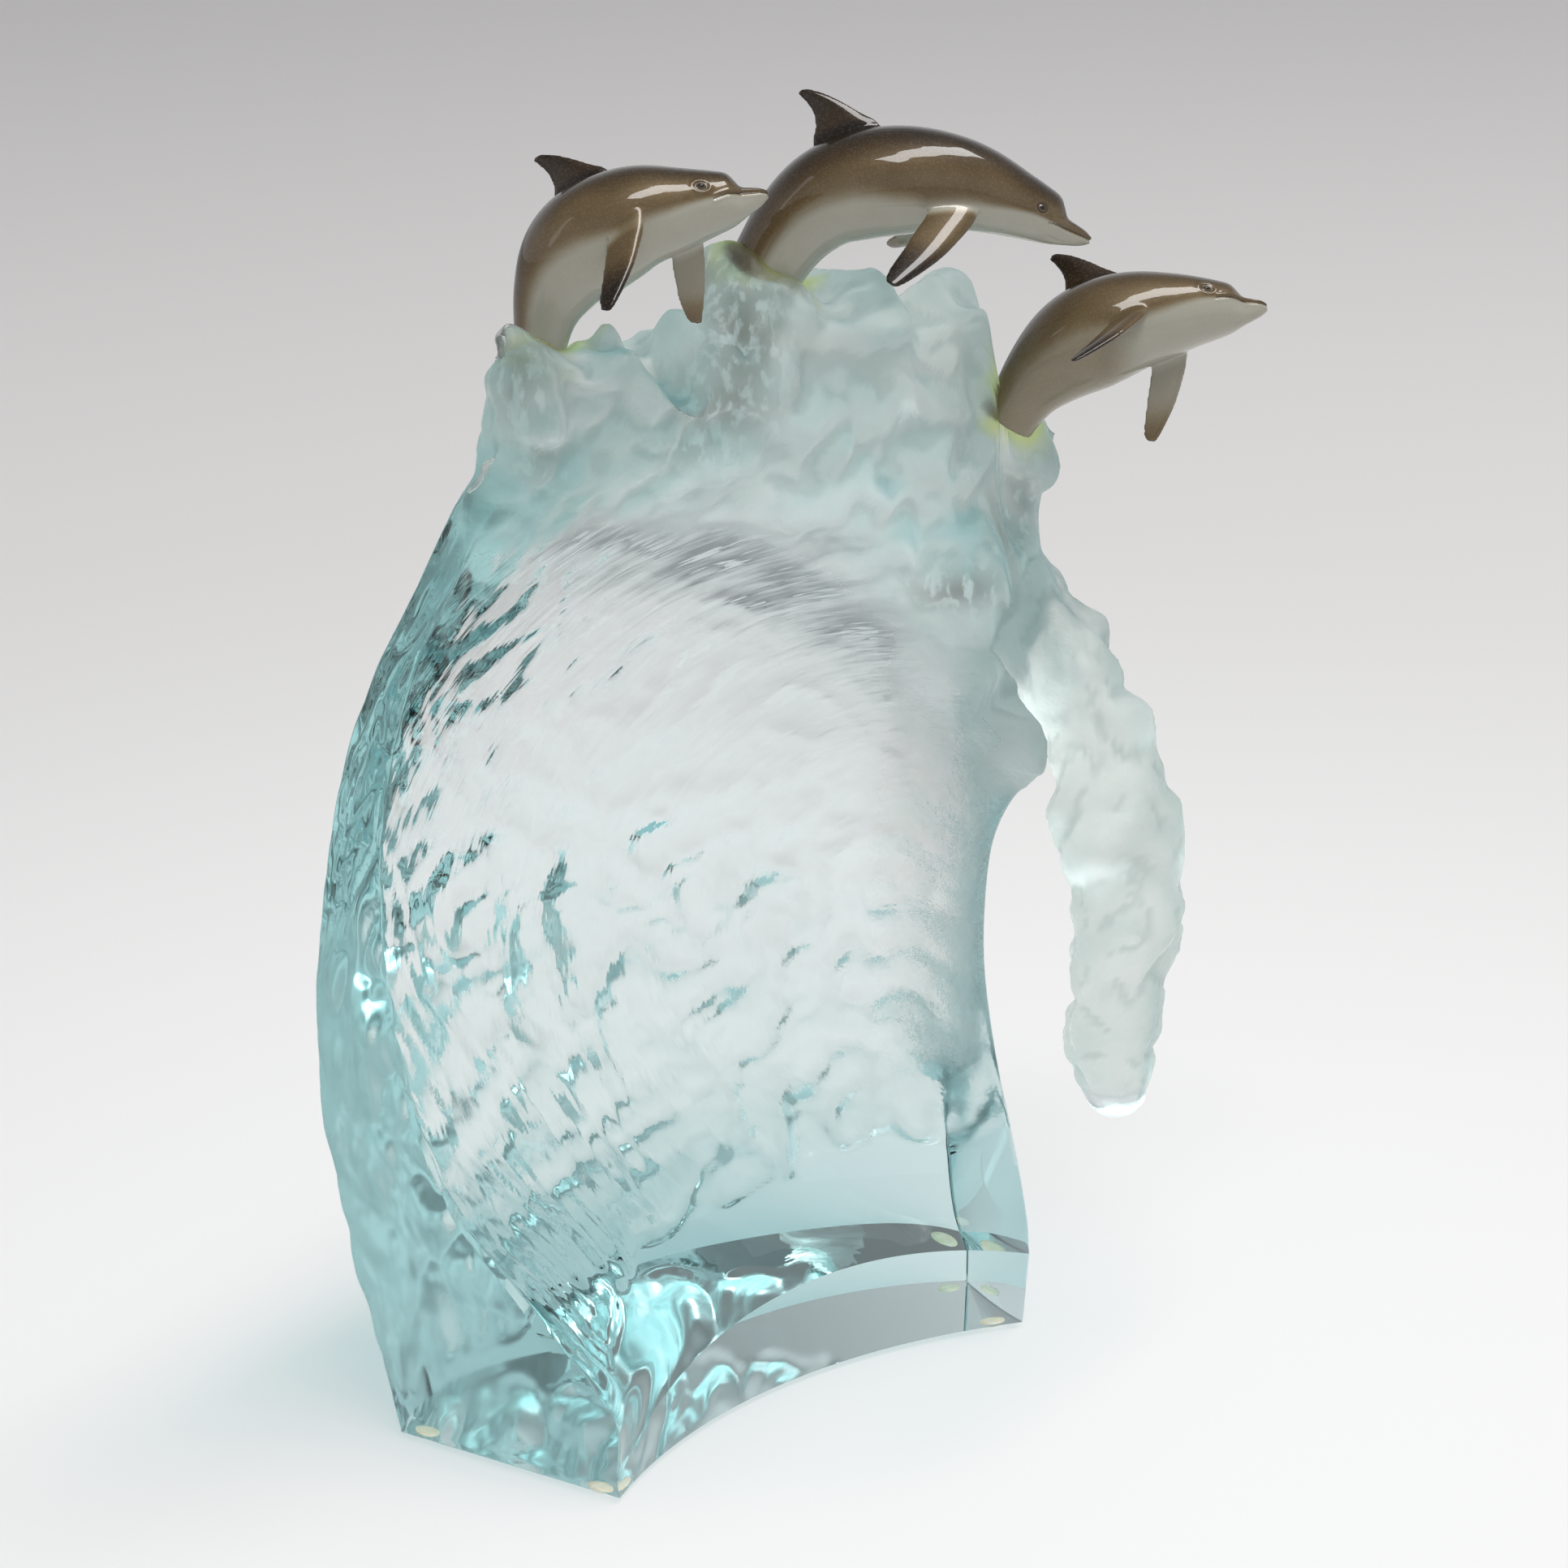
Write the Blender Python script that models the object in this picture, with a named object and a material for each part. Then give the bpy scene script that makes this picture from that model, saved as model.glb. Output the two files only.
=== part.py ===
"""Clear acrylic breaking wave with a frosted crest, and three painted dolphins leaping from it.

Metres, +Z up, and the sculpture is looked at from -Y. The wave stands on four small pads.
The wave is lofted through upright sections that fan out along a curved base line. A point of a
section has two coordinates: back, its distance behind the base line, and up, its height.
"""

import math

import bmesh
import bpy
from mathutils import Matrix, Vector, noise

# Base line: an arc seen from above, hollow towards the viewer
BASE_RADIUS = 0.1817
BASE_CENTRE = Vector((0.1245, -0.1320, 0.0))
BASE_FROM = math.radians(161.3)
BASE_TO = math.radians(106.1)
SECTION_YAW = (math.radians(147.6), math.radians(130.0), math.radians(113.0))
STATIONS = 40

# Pads under the base
PAD_RADIUS = 0.0042
PAD_HEIGHT = 0.0017
PAD_INSET = 0.0076
PAD_SIDES = 20
SEAT_GAP = 0.0003
FLOOR = PAD_HEIGHT + SEAT_GAP

# Corner points of a section, each as (back, up) at the left end, the middle and the right end
BAND = ((0.000, 0.008), (0.000, 0.032), (-0.004, 0.027))
FACE = (
    ((0.001, 0.026), (0.010, 0.042), (-0.002, 0.038)),
    ((0.024, 0.051), (0.022, 0.057), (0.008, 0.060)),
    ((0.054, 0.078), (0.038, 0.082), (0.021, 0.085)),
    ((0.071, 0.113), (0.050, 0.114), (0.029, 0.107)),
    ((0.080, 0.160), (0.056, 0.152), (0.030, 0.127)),
    ((0.077, 0.203), (0.050, 0.196), (0.025, 0.151)),
    ((0.064, 0.247), (0.030, 0.240), (0.010, 0.171)),
)
BROW = ((0.043, 0.286), (-0.006, 0.277), (-0.014, 0.188))
FOREHEAD = ((0.029, 0.310), (-0.017, 0.302), (-0.021, 0.222))
TEMPLE = ((0.024, 0.326), (-0.017, 0.320), (-0.011, 0.256))
PEAK = (0.024, -0.012, -0.016)
CREST = (0.034, 0.006, -0.007)
REAR = (0.044, 0.023, 0.008)
NAPE = ((0.0465, 0.304), (0.036, 0.300), (0.016, 0.258))
BACK = (
    ((0.056, 0.284), (0.050, 0.268), (0.030, 0.236)),
    ((0.089, 0.218), (0.076, 0.212), (0.048, 0.200)),
    ((0.1035, 0.150), (0.092, 0.152), (0.061, 0.152)),
    ((0.1045, 0.112), (0.096, 0.105), (0.067, 0.105)),
    ((0.096, 0.065), (0.090, 0.060), (0.069, 0.055)),
)
HEEL = (0.078, 0.080, 0.066)

# Height of the crest along the wave: place from left to right, height
CREST_LINE = (
    (0.000, 0.352), (0.030, 0.351), (0.083, 0.344), (0.140, 0.339), (0.200, 0.339), (0.245, 0.331),
    (0.285, 0.327), (0.315, 0.337), (0.376, 0.339), (0.410, 0.347), (0.440, 0.357), (0.510, 0.349),
    (0.580, 0.343), (0.640, 0.346), (0.690, 0.345), (0.715, 0.333), (0.780, 0.337), (0.845, 0.340),
    (0.872, 0.335), (0.895, 0.300), (0.950, 0.297), (1.000, 0.294),
)
PEAK_DROP = 0.009
REAR_DROP = 0.010
FRONT_POINTS = 28
BACK_POINTS = 24
FOAM_EDGE = 0.012
FOAM_SWELL = 0.0050
FOAM_GRAIN = 0.022

# The lip that falls from the crest: side, back, up, half width, half thickness
LIP = (
    (-0.014, 0.000, 0.262, 0.0090, 0.0080),
    (-0.010, -0.012, 0.243, 0.0140, 0.0125),
    (-0.004, -0.033, 0.223, 0.0150, 0.0135),
    (0.000, -0.050, 0.200, 0.0165, 0.0135),
    (0.001, -0.058, 0.175, 0.0190, 0.0140),
    (0.000, -0.061, 0.153, 0.0180, 0.0135),
    (0.000, -0.059, 0.128, 0.0155, 0.0125),
    (0.000, -0.058, 0.110, 0.0130, 0.0110),
    (0.000, -0.0575, 0.100, 0.0090, 0.0080),
    (0.000, -0.057, 0.0965, 0.0035, 0.0032),
)
LIP_RINGS = 20
LIP_SIDES = 14
LIP_SWELL = 0.0030
LIP_FULL = 0.014

# Cross sections of a dolphin: place from tail to beak, then half width, rise and drop per girth
BODY = (
    (0.00, 1.00, 1.00, 1.00),
    (0.42, 0.98, 1.00, 1.00),
    (0.50, 0.96, 0.97, 0.98),
    (0.60, 0.88, 0.87, 0.89),
    (0.70, 0.76, 0.74, 0.76),
    (0.78, 0.65, 0.62, 0.63),
    (0.84, 0.55, 0.53, 0.53),
    (0.89, 0.41, 0.40, 0.42),
    (0.92, 0.27, 0.22, 0.32),
    (0.95, 0.20, 0.15, 0.22),
    (0.98, 0.14, 0.10, 0.13),
    (1.00, 0.05, 0.04, 0.05),
)
BODY_SIDES = 16
BODY_RINGS = (5, 2, 2, 2, 2, 2, 2, 2, 1, 1, 1)
SOCKET_GAP = 0.0004
SOCKET_REACH = 0.30

# Fins: outward reach, chord, sweep of the leading edge and thickness per girth, from root to tip
DORSAL_FIN = (
    (-0.30, 1.20, -0.12, 0.22),
    (0.08, 1.08, -0.02, 0.20),
    (0.32, 0.80, 0.16, 0.16),
    (0.58, 0.60, 0.36, 0.12),
    (0.82, 0.42, 0.60, 0.09),
    (0.97, 0.22, 0.86, 0.05),
)
FLIPPER = (
    (-0.40, 0.60, -0.10, 0.26),
    (0.15, 0.66, 0.05, 0.24),
    (0.55, 0.80, 0.25, 0.20),
    (0.95, 0.76, 0.52, 0.16),
    (1.30, 0.54, 0.86, 0.12),
    (1.52, 0.22, 1.16, 0.07),
)
FIN_SIDES = 10

# Where each dolphin leaves the crest (place along the wave, back, up) and how it is built. The
# spine is points of (run, rise) from the tail. A fin has its place on the spine, the angles
# from the dorsal line at which it grows and points, its size and its sweep.
DOLPHINS = {
    "dolphin_left": {
        "tail": (0.115, 0.0337, 0.3343), "girth": 0.0158, "tail_girth": 0.47, "roll": 41.0,
        "spine": ((0.0, 0.0), (0.0034, 0.0145), (0.0108, 0.0271), (0.0253, 0.0365),
                  (0.0400, 0.0398), (0.0545, 0.0422), (0.0628, 0.0436)),
        "dorsal_fin": (0.435, 0.0, 0.0, 0.86, 1.00),
        "near_flipper": (0.560, 122.0, 172.0, 0.95, 0.90),
        "far_flipper": (0.715, -132.0, -142.0, 0.82, 0.30),
    },
    "dolphin_middle": {
        "tail": (0.504, 0.0094, 0.3441), "girth": 0.0154, "tail_girth": 0.70, "roll": 24.0,
        "spine": ((0.0, 0.0), (0.0095, 0.0146), (0.0205, 0.0236), (0.0380, 0.0277),
                  (0.0560, 0.0266), (0.0735, 0.0199), (0.0924, 0.0103)),
        "dorsal_fin": (0.342, 0.0, 0.0, 1.02, 1.00),
        "near_flipper": (0.625, 134.0, 152.0, 1.22, 0.90),
        "far_flipper": (0.620, -128.0, -104.0, 1.05, 0.90),
    },
    "dolphin_right": {
        "tail": (0.905, -0.0130, 0.2965), "girth": 0.0154, "tail_girth": 0.52, "roll": 54.0,
        "spine": ((0.0, 0.0), (0.0081, 0.0122), (0.0193, 0.0224), (0.0330, 0.0292),
                  (0.0481, 0.0322), (0.0623, 0.0333), (0.0737, 0.0338)),
        "dorsal_fin": (0.440, 0.0, 0.0, 0.96, 1.00),
        "near_flipper": (0.560, 121.0, 150.0, 0.95, 1.35),
        "far_flipper": (0.665, -130.0, -138.0, 0.93, 0.75),
    },
}
FIN_SHAPES = {"dorsal_fin": DORSAL_FIN, "near_flipper": FLIPPER, "far_flipper": FLIPPER}


def clear_scene():
    for obj in list(bpy.data.objects):
        bpy.data.objects.remove(obj)


def new_collection(name):
    collection = bpy.data.collections.new(name)
    bpy.context.scene.collection.children.link(collection)
    return collection


def material(name, colour, roughness, transmission=0.0):
    made = bpy.data.materials.new(name)
    made.use_nodes = True
    shader = made.node_tree.nodes["Principled BSDF"]
    shader.inputs["Base Color"].default_value = (*colour, 1.0)
    shader.inputs["Roughness"].default_value = roughness
    shader.inputs["Transmission Weight"].default_value = transmission
    return made


def smooth_row(rows, x):
    """The values at x on smooth curves through rows that each start with their own x."""
    x = min(max(x, rows[0][0]), rows[-1][0])
    i = max(k for k in range(len(rows) - 1) if rows[k][0] <= x)
    width = rows[i + 1][0] - rows[i][0]
    t = (x - rows[i][0]) / width

    def slope(k, column):
        low, high = max(k - 1, 0), min(k + 1, len(rows) - 1)
        return width * (rows[high][column] - rows[low][column]) / (rows[high][0] - rows[low][0])

    values = []
    for column in range(1, len(rows[0])):
        p, q = rows[i][column], rows[i + 1][column]
        m, n = slope(i, column), slope(i + 1, column)
        values.append(
            p * (2 * t**3 - 3 * t**2 + 1) + m * (t**3 - 2 * t**2 + t)
            + q * (3 * t**2 - 2 * t**3) + n * (t**3 - t**2)
        )
    return values


def even_points(corners, count):
    """That many points, evenly spaced, on the smooth curve through the corners."""
    distance = [0.0]
    for a, b in zip(corners, corners[1:]):
        distance.append(distance[-1] + (b - a).length)
    rows = [(d, *corner) for d, corner in zip(distance, corners)]
    return [Vector(smooth_row(rows, distance[-1] * i / (count - 1))) for i in range(count)]


def blend(values, t):
    """The value at t on the parabola through the left, middle and right values."""
    left, middle, right = values
    return left * (1 - t) * (1 - 2 * t) + middle * 4 * t * (1 - t) + right * t * (2 * t - 1)


def corner(points, t):
    """A corner point of the section at t."""
    return Vector((blend([p[0] for p in points], t), blend([p[1] for p in points], t)))


def side_of(t):
    """The level direction square to the section at t, towards the right end of the wave."""
    yaw = blend(SECTION_YAW, t)
    return Vector((math.sin(yaw), -math.cos(yaw), 0))


def place(t, back, up):
    """The point of the section at t that lies back behind the base line and up above the floor."""
    angle = BASE_FROM + (BASE_TO - BASE_FROM) * t
    yaw = blend(SECTION_YAW, t)
    start = BASE_CENTRE + BASE_RADIUS * Vector((math.cos(angle), math.sin(angle), 0))
    return start + Vector((back * math.cos(yaw), back * math.sin(yaw), up))


def section(t):
    """The outline at t and how much each point foams, from the front foot over the crest to the heel."""
    crest_up = smooth_row(CREST_LINE, t)[0]
    crest = Vector((blend(CREST, t), crest_up))
    front = [corner(points, t) for points in (BAND, *FACE, BROW, FOREHEAD, TEMPLE)]
    front += [Vector((blend(PEAK, t), crest_up - PEAK_DROP)), crest]
    rear = [crest, Vector((blend(REAR, t), crest_up - REAR_DROP))]
    rear += [corner(points, t) for points in (NAPE, *BACK)]
    rear.append(Vector((blend(HEEL, t), FLOOR)))
    foot = Vector((0.0, FLOOR))
    outline = [foot] + even_points(front, FRONT_POINTS) + even_points(rear, BACK_POINTS)[1:]
    brow_up, nape_up = corner(BROW, t).y, corner(NAPE, t).y
    foam = []
    for i, point in enumerate(outline):
        edge = brow_up if i <= FRONT_POINTS else nape_up
        foam.append(min(max((point.y - edge + FOAM_EDGE) / (2 * FOAM_EDGE), 0.0), 1.0))
    return outline, foam


def lumps(point, grain):
    """A smooth uneven value between about -1 and 1 for a place in space."""
    coarse = noise.noise(point / grain)
    return 1.4 * coarse + 0.5 * noise.noise(point / (0.45 * grain) + Vector((5, 3, 1)))


def mesh_from_rings(name, rings):
    """A closed mesh through rings of points, with a flat face at either end."""
    mesh = bmesh.new()
    rows = [[mesh.verts.new(point) for point in ring] for ring in rings]
    count = len(rings[0])
    for low, high in zip(rows, rows[1:]):
        for i in range(count):
            j = (i + 1) % count
            mesh.faces.new((low[i], low[j], high[j], high[i]))
    mesh.faces.new(rows[0])
    mesh.faces.new(rows[-1])
    bmesh.ops.recalc_face_normals(mesh, faces=mesh.faces)
    data = bpy.data.meshes.new(name)
    mesh.to_mesh(data)
    mesh.free()
    return data


def add_object(name, data, collection, finish=None):
    obj = bpy.data.objects.new(name, data)
    if finish is not None:
        data.materials.append(finish)
    collection.objects.link(obj)
    return obj


def add_tool(name, data, collection):
    """An object that only shapes others."""
    obj = add_object(name, data, collection)
    obj.hide_render = True
    obj.display_type = "WIRE"
    return obj


def combine(obj, other, operation):
    modifier = obj.modifiers.new(other.name, "BOOLEAN")
    modifier.operation = operation
    modifier.object = other
    modifier.solver = "EXACT"


def wave_mesh():
    rings = []
    for i in range(STATIONS + 1):
        t = i / STATIONS
        outline, foam = section(t)
        middle = sum(outline, Vector((0, 0))) / len(outline)
        ring = []
        for k, (point, share) in enumerate(zip(outline, foam)):
            before, after = outline[k - 1], outline[(k + 1) % len(outline)]
            along = (after - before).normalized()
            out = Vector((-along.y, along.x))
            swell = FOAM_SWELL * share * lumps(place(t, *point), FOAM_GRAIN)
            ring.append(place(t, *(point + out * swell)))
        rings.append(ring)
    return mesh_from_rings("acrylic_wave", rings)


def lip_mesh():
    """The falling lip, swept at the right end with its rings square to its path."""
    rows = [(float(i), *row) for i, row in enumerate(LIP)]
    last = len(LIP) - 1
    side = side_of(1.0)

    def middle(x):
        aside, back, up = smooth_row(rows, x)[:3]
        return place(1.0, back, up) + side * aside

    rings = []
    for i in range(LIP_RINGS + 1):
        x = last * i / LIP_RINGS
        half_width, half_thickness = smooth_row(rows, x)[3:]
        forward = (middle(min(x + 0.05, last)) - middle(max(x - 0.05, 0))).normalized()
        across = (side - forward * side.dot(forward)).normalized()
        out = forward.cross(across)
        ring = []
        for k in range(LIP_SIDES):
            angle = 2 * math.pi * k / LIP_SIDES
            way = across * math.cos(angle) * half_width + out * math.sin(angle) * half_thickness
            point = middle(x) + way
            swell = LIP_SWELL * min(1.0, half_width / LIP_FULL) * lumps(point, FOAM_GRAIN)
            ring.append(point + way.normalized() * swell)
        rings.append(ring)
    return mesh_from_rings("lip", rings)


class Dolphin:
    """A dolphin whose spine bends in an upright plane along X, its body rolled about the spine."""

    def __init__(self, spec):
        self.spec = spec
        self.girth = spec["girth"]
        self.tail = place(*spec["tail"])
        spine = [Vector(point) for point in spec["spine"]]
        steps = [(b - a).length for a, b in zip(spine, spine[1:])]
        self.length = sum(steps)
        self.rows = [
            (sum(steps[:i]) / self.length, *point) for i, point in enumerate(spine)
        ]

    def spine(self, s):
        run, rise = smooth_row(self.rows, s)
        return self.tail + Vector((run, 0, rise))

    def frame(self, s):
        """Forward, dorsal and near-side directions at s."""
        low, high = max(s - 0.03, 0.0), min(s + 0.03, 1.0)
        forward = (self.spine(high) - self.spine(low)).normalized()
        upright = forward.cross(Vector((0, 1, 0)))
        dorsal = Matrix.Rotation(math.radians(-self.spec["roll"]), 3, forward) @ upright
        return forward, dorsal, forward.cross(dorsal)

    def sizes(self, s):
        """Half width, rise and drop of the body at s."""
        tail = self.spec["tail_girth"]
        x = min(s / BODY[1][0], 1.0)
        taper = self.girth * (tail + (1 - tail) * x * x * (3 - 2 * x))
        return [taper * share for share in smooth_row(BODY, s)]

    def ring(self, s, grow=0.0):
        half_width, rise, drop = (size + grow for size in self.sizes(s))
        forward, dorsal, near = self.frame(s)
        centre = self.spine(s)
        ring = []
        for k in range(BODY_SIDES):
            angle = 2 * math.pi * k / BODY_SIDES
            lift = rise if math.cos(angle) > 0 else drop
            ring.append(centre + dorsal * math.cos(angle) * lift + near * math.sin(angle) * half_width)
        return ring

    def body_mesh(self, name):
        places = []
        for low, high, count in zip(BODY, BODY[1:], BODY_RINGS):
            places += [low[0] + (high[0] - low[0]) * k / count for k in range(count)]
        return mesh_from_rings(name, [self.ring(s) for s in (*places, BODY[-1][0])])

    def socket_mesh(self, name):
        """The room that the tail needs in the crest."""
        rings = [self.ring(SOCKET_REACH * k / 6, SOCKET_GAP) for k in range(7)]
        below = self.frame(0.0)[0] * SOCKET_GAP
        rings[0] = [point - below for point in rings[0]]
        return mesh_from_rings(name, rings)

    def fin_mesh(self, name, rows, fin):
        s, root_angle, out_angle, size, sweep_share = fin
        forward, dorsal, near = self.frame(s)
        half_width, rise, drop = self.sizes(s)
        root_angle, out_angle = math.radians(root_angle), math.radians(out_angle)
        lift = rise if math.cos(root_angle) > 0 else drop
        root = self.spine(s) + dorsal * math.cos(root_angle) * lift
        root += near * math.sin(root_angle) * half_width
        out = dorsal * math.cos(out_angle) + near * math.sin(out_angle)
        flat = forward.cross(out)
        scale = self.girth * size
        rings = []
        for reach, chord, sweep, thickness in rows:
            behind = sweep * sweep_share + 0.5 * (chord - rows[0][1])
            centre = root + scale * (out * reach - forward * behind)
            ring = []
            for k in range(FIN_SIDES):
                angle = 2 * math.pi * k / FIN_SIDES
                fullness = 0.5 * thickness * (0.75 + 0.25 * math.cos(angle))
                along = forward * math.cos(angle) * 0.5 * chord
                ring.append(centre + scale * (along + flat * math.sin(angle) * fullness))
            rings.append(ring)
        return mesh_from_rings(name, rings)


def pad_mesh(name):
    mesh = bmesh.new()
    bmesh.ops.create_cone(
        mesh, cap_ends=True, segments=PAD_SIDES, radius1=PAD_RADIUS, radius2=PAD_RADIUS,
        depth=PAD_HEIGHT,
    )
    data = bpy.data.meshes.new(name)
    mesh.to_mesh(data)
    mesh.free()
    return data


def pad_places():
    """Where the pads sit: in from the four corners of the base."""
    depth_left, depth_right = HEEL[0], HEEL[2]
    inner = PAD_INSET / (BASE_RADIUS * (BASE_FROM - BASE_TO))
    return {
        "pad_front_left": place(inner, PAD_INSET, 0.0),
        "pad_back_left": place(inner, depth_left - PAD_INSET, 0.0),
        "pad_front_right": place(1 - inner, PAD_INSET, 0.0),
        "pad_back_right": place(1 - inner, depth_right - PAD_INSET, 0.0),
    }


def centre_on_floor(objects):
    """The shift that brings the middle of the underside of the whole box to the origin."""
    bpy.context.view_layer.update()
    depsgraph = bpy.context.evaluated_depsgraph_get()
    points = []
    for obj in objects:
        solid = obj.evaluated_get(depsgraph)
        points += [solid.matrix_world @ v.co for v in solid.data.vertices]
    low = [min(p[k] for p in points) for k in range(3)]
    high = [max(p[k] for p in points) for k in range(3)]
    return Vector((-(low[0] + high[0]) / 2, -(low[1] + high[1]) / 2, -low[2]))


def build():
    clear_scene()
    sculpture = new_collection("dolphin_wave_sculpture")
    tools = new_collection("tools")
    acrylic = material("clear_acrylic", (0.72, 0.90, 0.92), 0.08, 0.9)
    paint = material("dolphin_paint", (0.22, 0.17, 0.12), 0.25)
    rubber = material("pad_rubber", (0.80, 0.76, 0.62), 0.5)

    wave = add_object("acrylic_wave", wave_mesh(), sculpture, acrylic)
    combine(wave, add_tool("lip_tool", lip_mesh(), tools), "UNION")

    for name, spec in DOLPHINS.items():
        dolphin = Dolphin(spec)
        body = add_object(name, dolphin.body_mesh(name), sculpture, paint)
        for fin, rows in FIN_SHAPES.items():
            tool_name = f"{name}_{fin}"
            tool = add_tool(tool_name, dolphin.fin_mesh(tool_name, rows, spec[fin]), tools)
            combine(body, tool, "UNION")
        socket = add_tool(f"{name}_socket", dolphin.socket_mesh(f"{name}_socket"), tools)
        combine(wave, socket, "DIFFERENCE")

    for name, spot in pad_places().items():
        pad = add_object(name, pad_mesh(name), sculpture, rubber)
        pad.location = spot + Vector((0, 0, PAD_HEIGHT / 2))

    shift = centre_on_floor(sculpture.objects)
    for obj in (*sculpture.objects, *tools.objects):
        obj.location += shift


build()
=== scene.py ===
"""Looks of the breaking wave sculpture.

A wave of clear acrylic with a frosted crest, three painted dolphins leaping from it and four
small pads under its base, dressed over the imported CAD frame. Metres, +Z up, seen from -Y.
"""
import logging
import math
from dataclasses import dataclass
from enum import Enum

import bmesh
import bpy
import numpy as np
from mathutils import Matrix, Vector, kdtree, noise


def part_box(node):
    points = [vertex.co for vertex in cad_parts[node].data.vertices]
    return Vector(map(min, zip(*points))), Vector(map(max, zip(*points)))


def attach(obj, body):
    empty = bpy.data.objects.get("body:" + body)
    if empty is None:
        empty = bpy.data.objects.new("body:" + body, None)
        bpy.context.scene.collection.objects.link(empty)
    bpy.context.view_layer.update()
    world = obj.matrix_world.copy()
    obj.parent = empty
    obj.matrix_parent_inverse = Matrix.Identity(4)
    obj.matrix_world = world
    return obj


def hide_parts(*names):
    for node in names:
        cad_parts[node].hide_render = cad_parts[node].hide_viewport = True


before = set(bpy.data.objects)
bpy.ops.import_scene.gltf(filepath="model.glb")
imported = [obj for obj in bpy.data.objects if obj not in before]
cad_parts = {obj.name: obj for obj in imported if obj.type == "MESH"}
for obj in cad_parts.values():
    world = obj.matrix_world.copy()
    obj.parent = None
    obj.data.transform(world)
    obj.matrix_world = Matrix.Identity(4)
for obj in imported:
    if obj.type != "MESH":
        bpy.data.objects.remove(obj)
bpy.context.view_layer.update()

log = logging.getLogger("wave_sculpture")

Row = tuple[float, ...]
Rows = tuple[Row, ...]
Colour = tuple[float, float, float]


# ---------------------------------------------------------------- curves and numbers


def smooth_row(rows: Rows | list[Row], x: float) -> list[float]:
    """Reads a table as smooth curves.

    Args:
        rows: Rows that each start with their own x.
        x: Where to read.

    Returns:
        The other values of the row at x.
    """
    x = min(max(x, rows[0][0]), rows[-1][0])
    i = max(k for k in range(len(rows) - 1) if rows[k][0] <= x)
    width = rows[i + 1][0] - rows[i][0]
    t = (x - rows[i][0]) / width

    def slope(k: int, column: int) -> float:
        """How fast a column changes at row k, over the width of this step."""
        low, high = max(k - 1, 0), min(k + 1, len(rows) - 1)
        return width * (rows[high][column] - rows[low][column]) / (rows[high][0] - rows[low][0])

    values = []
    for column in range(1, len(rows[0])):
        p, q = rows[i][column], rows[i + 1][column]
        m, n = slope(i, column), slope(i + 1, column)
        values.append(
            p * (2 * t**3 - 3 * t**2 + 1) + m * (t**3 - 2 * t**2 + t)
            + q * (3 * t**2 - 2 * t**3) + n * (t**3 - t**2)
        )
    return values


def even_points(corners: list[Vector], count: int) -> list[list[float]]:
    """Spaces points evenly on the smooth curve through some corners.

    Args:
        corners: The corner points in order.
        count: How many points to give.

    Returns:
        The points, the first and last corner included.
    """
    distance = [0.0]
    for a, b in zip(corners, corners[1:]):
        distance.append(distance[-1] + (b - a).length)
    rows = [(d, *corner) for d, corner in zip(distance, corners)]
    return [smooth_row(rows, distance[-1] * i / (count - 1)) for i in range(count)]


def parabola(values: Row | list[float], t: float) -> float:
    """The value at t on the parabola through the left, middle and right values."""
    left, middle, right = values
    return left * (1 - t) * (1 - 2 * t) + middle * 4 * t * (1 - t) + right * t * (2 * t - 1)


def ease(low: float, high: float, value: np.ndarray | float) -> np.ndarray:
    """A smooth step from 0 at low to 1 at high."""
    x = np.clip((value - low) / (high - low), 0.0, 1.0)
    return x * x * (3.0 - 2.0 * x)


def bell(value: np.ndarray, middle: float, width: float) -> np.ndarray:
    """A smooth bump of 1 at its middle, which fades over its width."""
    return np.exp(-((value - middle) / width) ** 2)


def uneven(points: np.ndarray, grain: float | Row, shift: float = 0.0) -> np.ndarray:
    """Smooth noise in space.

    Args:
        points: Places, in rows of three.
        grain: Size of its lumps, or one size for each direction.
        shift: Moves the pattern, so that two patterns differ.

    Returns:
        A value between about -1 and 1 for each place.
    """
    scaled = points / np.asarray(grain) + shift
    return np.array([noise.noise(place) for place in scaled.reshape(-1, 3).tolist()])


def lumps(points: np.ndarray, grain: float) -> np.ndarray:
    """The slow swell of the foam, the same as in the solids."""
    scaled = points.reshape(-1, 3)
    fine = [noise.noise(Vector(p) / (0.45 * grain) + Vector((5, 3, 1))) for p in scaled.tolist()]
    return 1.4 * uneven(scaled, grain) + 0.5 * np.array(fine)


def creases(points: np.ndarray, grain: float, shift: float) -> np.ndarray:
    """Round billows with sharp valleys between them, from about -1 in a valley to 1 on top."""
    return np.abs(uneven(points, grain, shift)) * 3.2 - 1.0


# ---------------------------------------------------------------- meshes


def new_piece(name: str, points: np.ndarray, faces: list[list[int]]) -> bpy.types.Object:
    """Makes a smooth shaded object from points and faces, with its normals outward."""
    data = bpy.data.meshes.new(name)
    data.from_pydata(points.tolist(), [], faces)
    mesh = bmesh.new()
    mesh.from_mesh(data)
    bmesh.ops.recalc_face_normals(mesh, faces=mesh.faces)
    if mesh.calc_volume(signed=True) < 0:
        bmesh.ops.reverse_faces(mesh, faces=mesh.faces)
    mesh.to_mesh(data)
    mesh.free()
    data.shade_smooth()
    piece = bpy.data.objects.new(name, data)
    bpy.context.scene.collection.objects.link(piece)
    return piece


def tube_faces(rings: int, sides: int) -> list[list[int]]:
    """Faces of a closed tube through rings of points, with a flat face at either end."""
    faces = []
    for i in range(rings - 1):
        for k in range(sides):
            j = (k + 1) % sides
            faces.append([i * sides + k, i * sides + j, (i + 1) * sides + j, (i + 1) * sides + k])
    faces.append(list(range(sides)))
    faces.append([(rings - 1) * sides + k for k in range(sides)])
    return faces


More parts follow.
